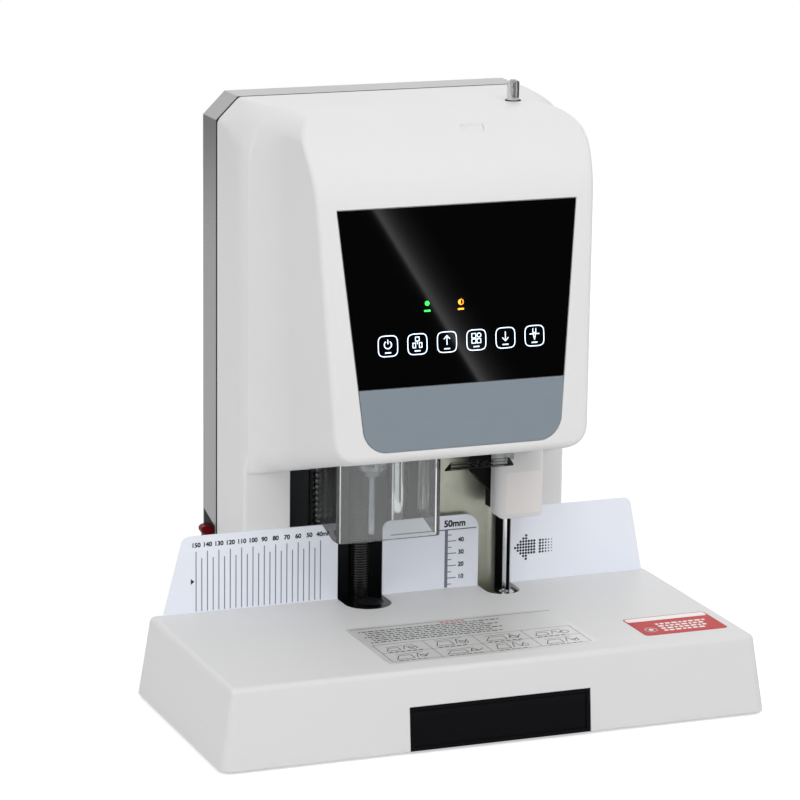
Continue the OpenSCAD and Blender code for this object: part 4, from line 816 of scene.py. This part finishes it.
for (name, art), x in zip(ICONS.items(), (-63.5, -38.1, -12.5, 13.1, 38.6, 64.2)):
    art = [[(u, v + 1.4) for u, v in q] for q in art]
    merged(f"icon_{name}", art + stroke(squircle(8.3), 0.75, True) + [rect(-2.6, -5.9, 2.6, -4.9)], 0.03,
           face_place(x, 311.0), lit_white)
merged("led_ready", [disc(0, 0, 1.9, 24)], 0.03, face_place(-28.8, 343.2), lit_green)
merged("led_ready_bar", [rect(-2.6, -0.7, 2.6, 0.7)], 0.03, face_place(-28.8, 337.2), lit_green)
merged("led_heat", [disc(0, 0, 2.3, 24, 90, 270)] + stroke(disc(0, 0, 2.2, 24, -90, 90), 0.5), 0.03,
       face_place(0.3, 342.5), lit_amber)
merged("led_heat_bar", [rect(-2.6, -0.7, 2.6, 0.7)], 0.03, face_place(0.3, 336.9), lit_amber)

# ---------------------------------------------------------------- stage, light and camera
FLOOR_SIZE, FLOOR_LIFT = 5.0, 0.52  # metres; extra light of the floor, so that it shows white beyond the shadow
AMBIENT = 0.585
STRIP_POWER = 1.5


def rays(t, *kinds, at=(-800, 200)):
    """1 for any of the ray kinds named, else 0."""
    path = node(t, "ShaderNodeLightPath", at)
    out = path.outputs[kinds[0]]
    for i, kind in enumerate(kinds[1:], 1):
        either = node(t, "ShaderNodeMath", (at[0] + 200 * i, at[1]), operation="MAXIMUM")
        wire(t, (out, either.inputs[0]), (path.outputs[kind], either.inputs[1]))
        out = either.outputs[0]
    return out


floor_mat, t = new_mat("floor_paper_white")
diff = node(t, "ShaderNodeBsdfDiffuse", (-400, 0), in_Color=(0.82, 0.82, 0.82, 1))
lift = node(t, "ShaderNodeEmission", (-400, -200), in_Color=(1, 1, 1, 1), in_Strength=FLOOR_LIFT)
both = node(t, "ShaderNodeAddShader", (-100, -100))
mix = node(t, "ShaderNodeMixShader", (100, 0))
wire(t, (diff.outputs["BSDF"], both.inputs[0]), (lift.outputs["Emission"], both.inputs[1]),
     (rays(t, "Is Camera Ray", "Is Glossy Ray", "Is Transmission Ray"), mix.inputs[0]),
     (diff.outputs["BSDF"], mix.inputs[1]), (both.outputs["Shader"], mix.inputs[2]))
finish_mat(t, mix.outputs["Shader"])
bpy.ops.mesh.primitive_plane_add(size=FLOOR_SIZE, location=(0, 0, 0))
floor = bpy.context.object
floor.name = "floor"
floor.data.materials.append(floor_mat)

# The world is white to the eye. As light it is even, and in reflections it is dark in front, so that the glass
# stays black, pale overhead, and bright behind just above the horizon.
world = bpy.data.worlds.new("studio")
bpy.context.scene.world = world
world.use_nodes = True
t = world.node_tree
t.nodes.clear()
amb = node(t, "ShaderNodeBackground", (-400, -100), in_Color=(1, 1, 1, 1), in_Strength=AMBIENT)
dim = node(t, "ShaderNodeBackground", (-400, -250), in_Color=(1, 1, 1, 1))
seen = node(t, "ShaderNodeBackground", (-400, 100), in_Color=(1, 1, 1, 1), in_Strength=1.0)
way = node(t, "ShaderNodeTexCoord", (-1200, -300))
split = node(t, "ShaderNodeSeparateXYZ", (-1000, -300))
sky = node(t, "ShaderNodeMapRange", (-800, -300), interpolation_type="SMOOTHSTEP", in_1=0.06, in_2=0.5, in_3=0.008,
           in_4=0.55)
rear = node(t, "ShaderNodeMapRange", (-800, -550), interpolation_type="SMOOTHSTEP", in_1=0.1, in_2=0.6, in_3=0.0,
            in_4=1.5)
above = node(t, "ShaderNodeMapRange", (-800, -800), interpolation_type="SMOOTHSTEP", in_1=0.0, in_2=0.12)
rear_above = node(t, "ShaderNodeMath", (-700, -650), operation="MULTIPLY")
most = node(t, "ShaderNodeMath", (-600, -400), operation="MAXIMUM")
lighting = node(t, "ShaderNodeMixShader", (-200, 0))
shown = node(t, "ShaderNodeMixShader", (0, 0))
out = node(t, "ShaderNodeOutputWorld", (200, 0))
wire(t, (way.outputs["Generated"], split.inputs[0]), (split.outputs["Z"], sky.inputs[0]),
     (split.outputs["Y"], rear.inputs[0]), (split.outputs["Z"], above.inputs[0]),
     (rear.outputs[0], rear_above.inputs[0]), (above.outputs[0], rear_above.inputs[1]),
     (sky.outputs[0], most.inputs[0]), (rear_above.outputs[0], most.inputs[1]),
     (most.outputs[0], dim.inputs["Strength"]),
     (rays(t, "Is Glossy Ray"), lighting.inputs[0]), (amb.outputs[0], lighting.inputs[1]),
     (dim.outputs[0], lighting.inputs[2]), (rays(t, "Is Camera Ray", "Is Transmission Ray"), shown.inputs[0]),
     (lighting.outputs[0], shown.inputs[1]), (seen.outputs[0], shown.inputs[2]),
     (shown.outputs[0], out.inputs["Surface"]))


def area(name, place, aim_z, size, power, aim_y=0.0):
    """Soft box at place, in metres, turned to a point on the machine's middle line."""
    data = bpy.data.lights.new(name, "AREA")
    data.shape = "RECTANGLE"
    data.size, data.size_y = size
    data.energy = power
    o = bpy.data.objects.new(name, data)
    bpy.context.scene.collection.objects.link(o)
    o.location = place
    o.rotation_euler = (Vector((0.0, aim_y, aim_z)) - Vector(place)).to_track_quat("-Z", "Y").to_euler()


area("key_front_right", (1.1, -2.4, 1.9), 0.25, (1.6, 1.2), 6)
area("fill_left", (-2.4, -1.2, 1.3), 0.25, (1.8, 1.8), 10.5)
area("top_soft", (0.05, -1.35, 1.8), 0.4, (1.3, 0.5), 10)
area("rim_back_right", (0.9, 1.3, 2.0), 0.4, (1.0, 1.2), 3.5, aim_y=0.1)

# A slanted strip light, seen only as the soft diagonal band in the glass. It is brightest at one edge and fades
# to the other, as the photo's band does.
card_mat, t = new_mat("strip_light_gradient")
level = node(t, "ShaderNodeAttribute", (-600, 0), attribute_name="level")
power = node(t, "ShaderNodeMath", (-400, 0), operation="MULTIPLY", in_1=STRIP_POWER)
em = node(t, "ShaderNodeEmission", (-200, 0), in_Color=(1, 1, 1, 1))
wire(t, (level.outputs["Fac"], power.inputs[0]), (power.outputs[0], em.inputs["Strength"]))
finish_mat(t, em.outputs["Emission"])
CARD_AT, CARD_X = Vector((0.59701, -1.54290, 0.33536)), Vector((-0.92777, -0.37315, 0.0))
CARD_Z = Vector((0.00341, -0.00849, 0.99996))
CARD_HALF, CARD_SHIFT, CARD_SLANT = 0.3, 0.0438, 0.529
CARD_LEVELS = ((0.0, 0.0), (0.002, 1.0), (0.008, 0.55), (0.016, 0.25), (0.026, 0.1), (0.04, 0.03), (0.06, 0.0))
verts = []
for v in (-CARD_HALF, CARD_HALF):
    for c, _ in CARD_LEVELS:
        verts.append(tuple((CARD_AT + CARD_X * (CARD_SHIFT + CARD_SLANT * v - c) + CARD_Z * v) / MM))
k = len(CARD_LEVELS)
card = mesh_object("strip_card", verts, [[i, i + 1, k + i + 1, k + i] for i in range(k - 1)], card_mat)
values = card.data.attributes.new("level", "FLOAT", "POINT")
for i in range(2 * k):
    values.data[i].value = CARD_LEVELS[i % k][1]
card.visible_camera = False
card.visible_diffuse = False
card.visible_shadow = False
card.visible_transmission = False

# the camera that was fitted to the photo's printed scale and straight edges
CAM_AT, CAM_LENS, CAM_SENSOR = (-1.11897, -2.77418, 0.95528), 167.435, 36.0
YAW, PITCH, ROLL = 0.3747, 0.2323, 0.0120
cam = bpy.data.objects.new("camera", bpy.data.cameras.new("camera"))
bpy.context.scene.collection.objects.link(cam)
bpy.context.scene.camera = cam
cam.data.sensor_width = CAM_SENSOR
cam.data.lens = CAM_LENS
cam.data.clip_start, cam.data.clip_end = 0.1, 30.0
ahead = Vector((math.sin(YAW) * math.cos(PITCH), math.cos(YAW) * math.cos(PITCH), -math.sin(PITCH)))
level_right = Vector((math.cos(YAW), -math.sin(YAW), 0.0))
level_up = level_right.cross(ahead)
right = math.cos(ROLL) * level_right + math.sin(ROLL) * level_up
up = -math.sin(ROLL) * level_right + math.cos(ROLL) * level_up
cam.matrix_world = Matrix.Translation(CAM_AT) @ Matrix((right, up, -ahead)).transposed().to_4x4()

bpy.context.scene.view_settings.view_transform = "Standard"
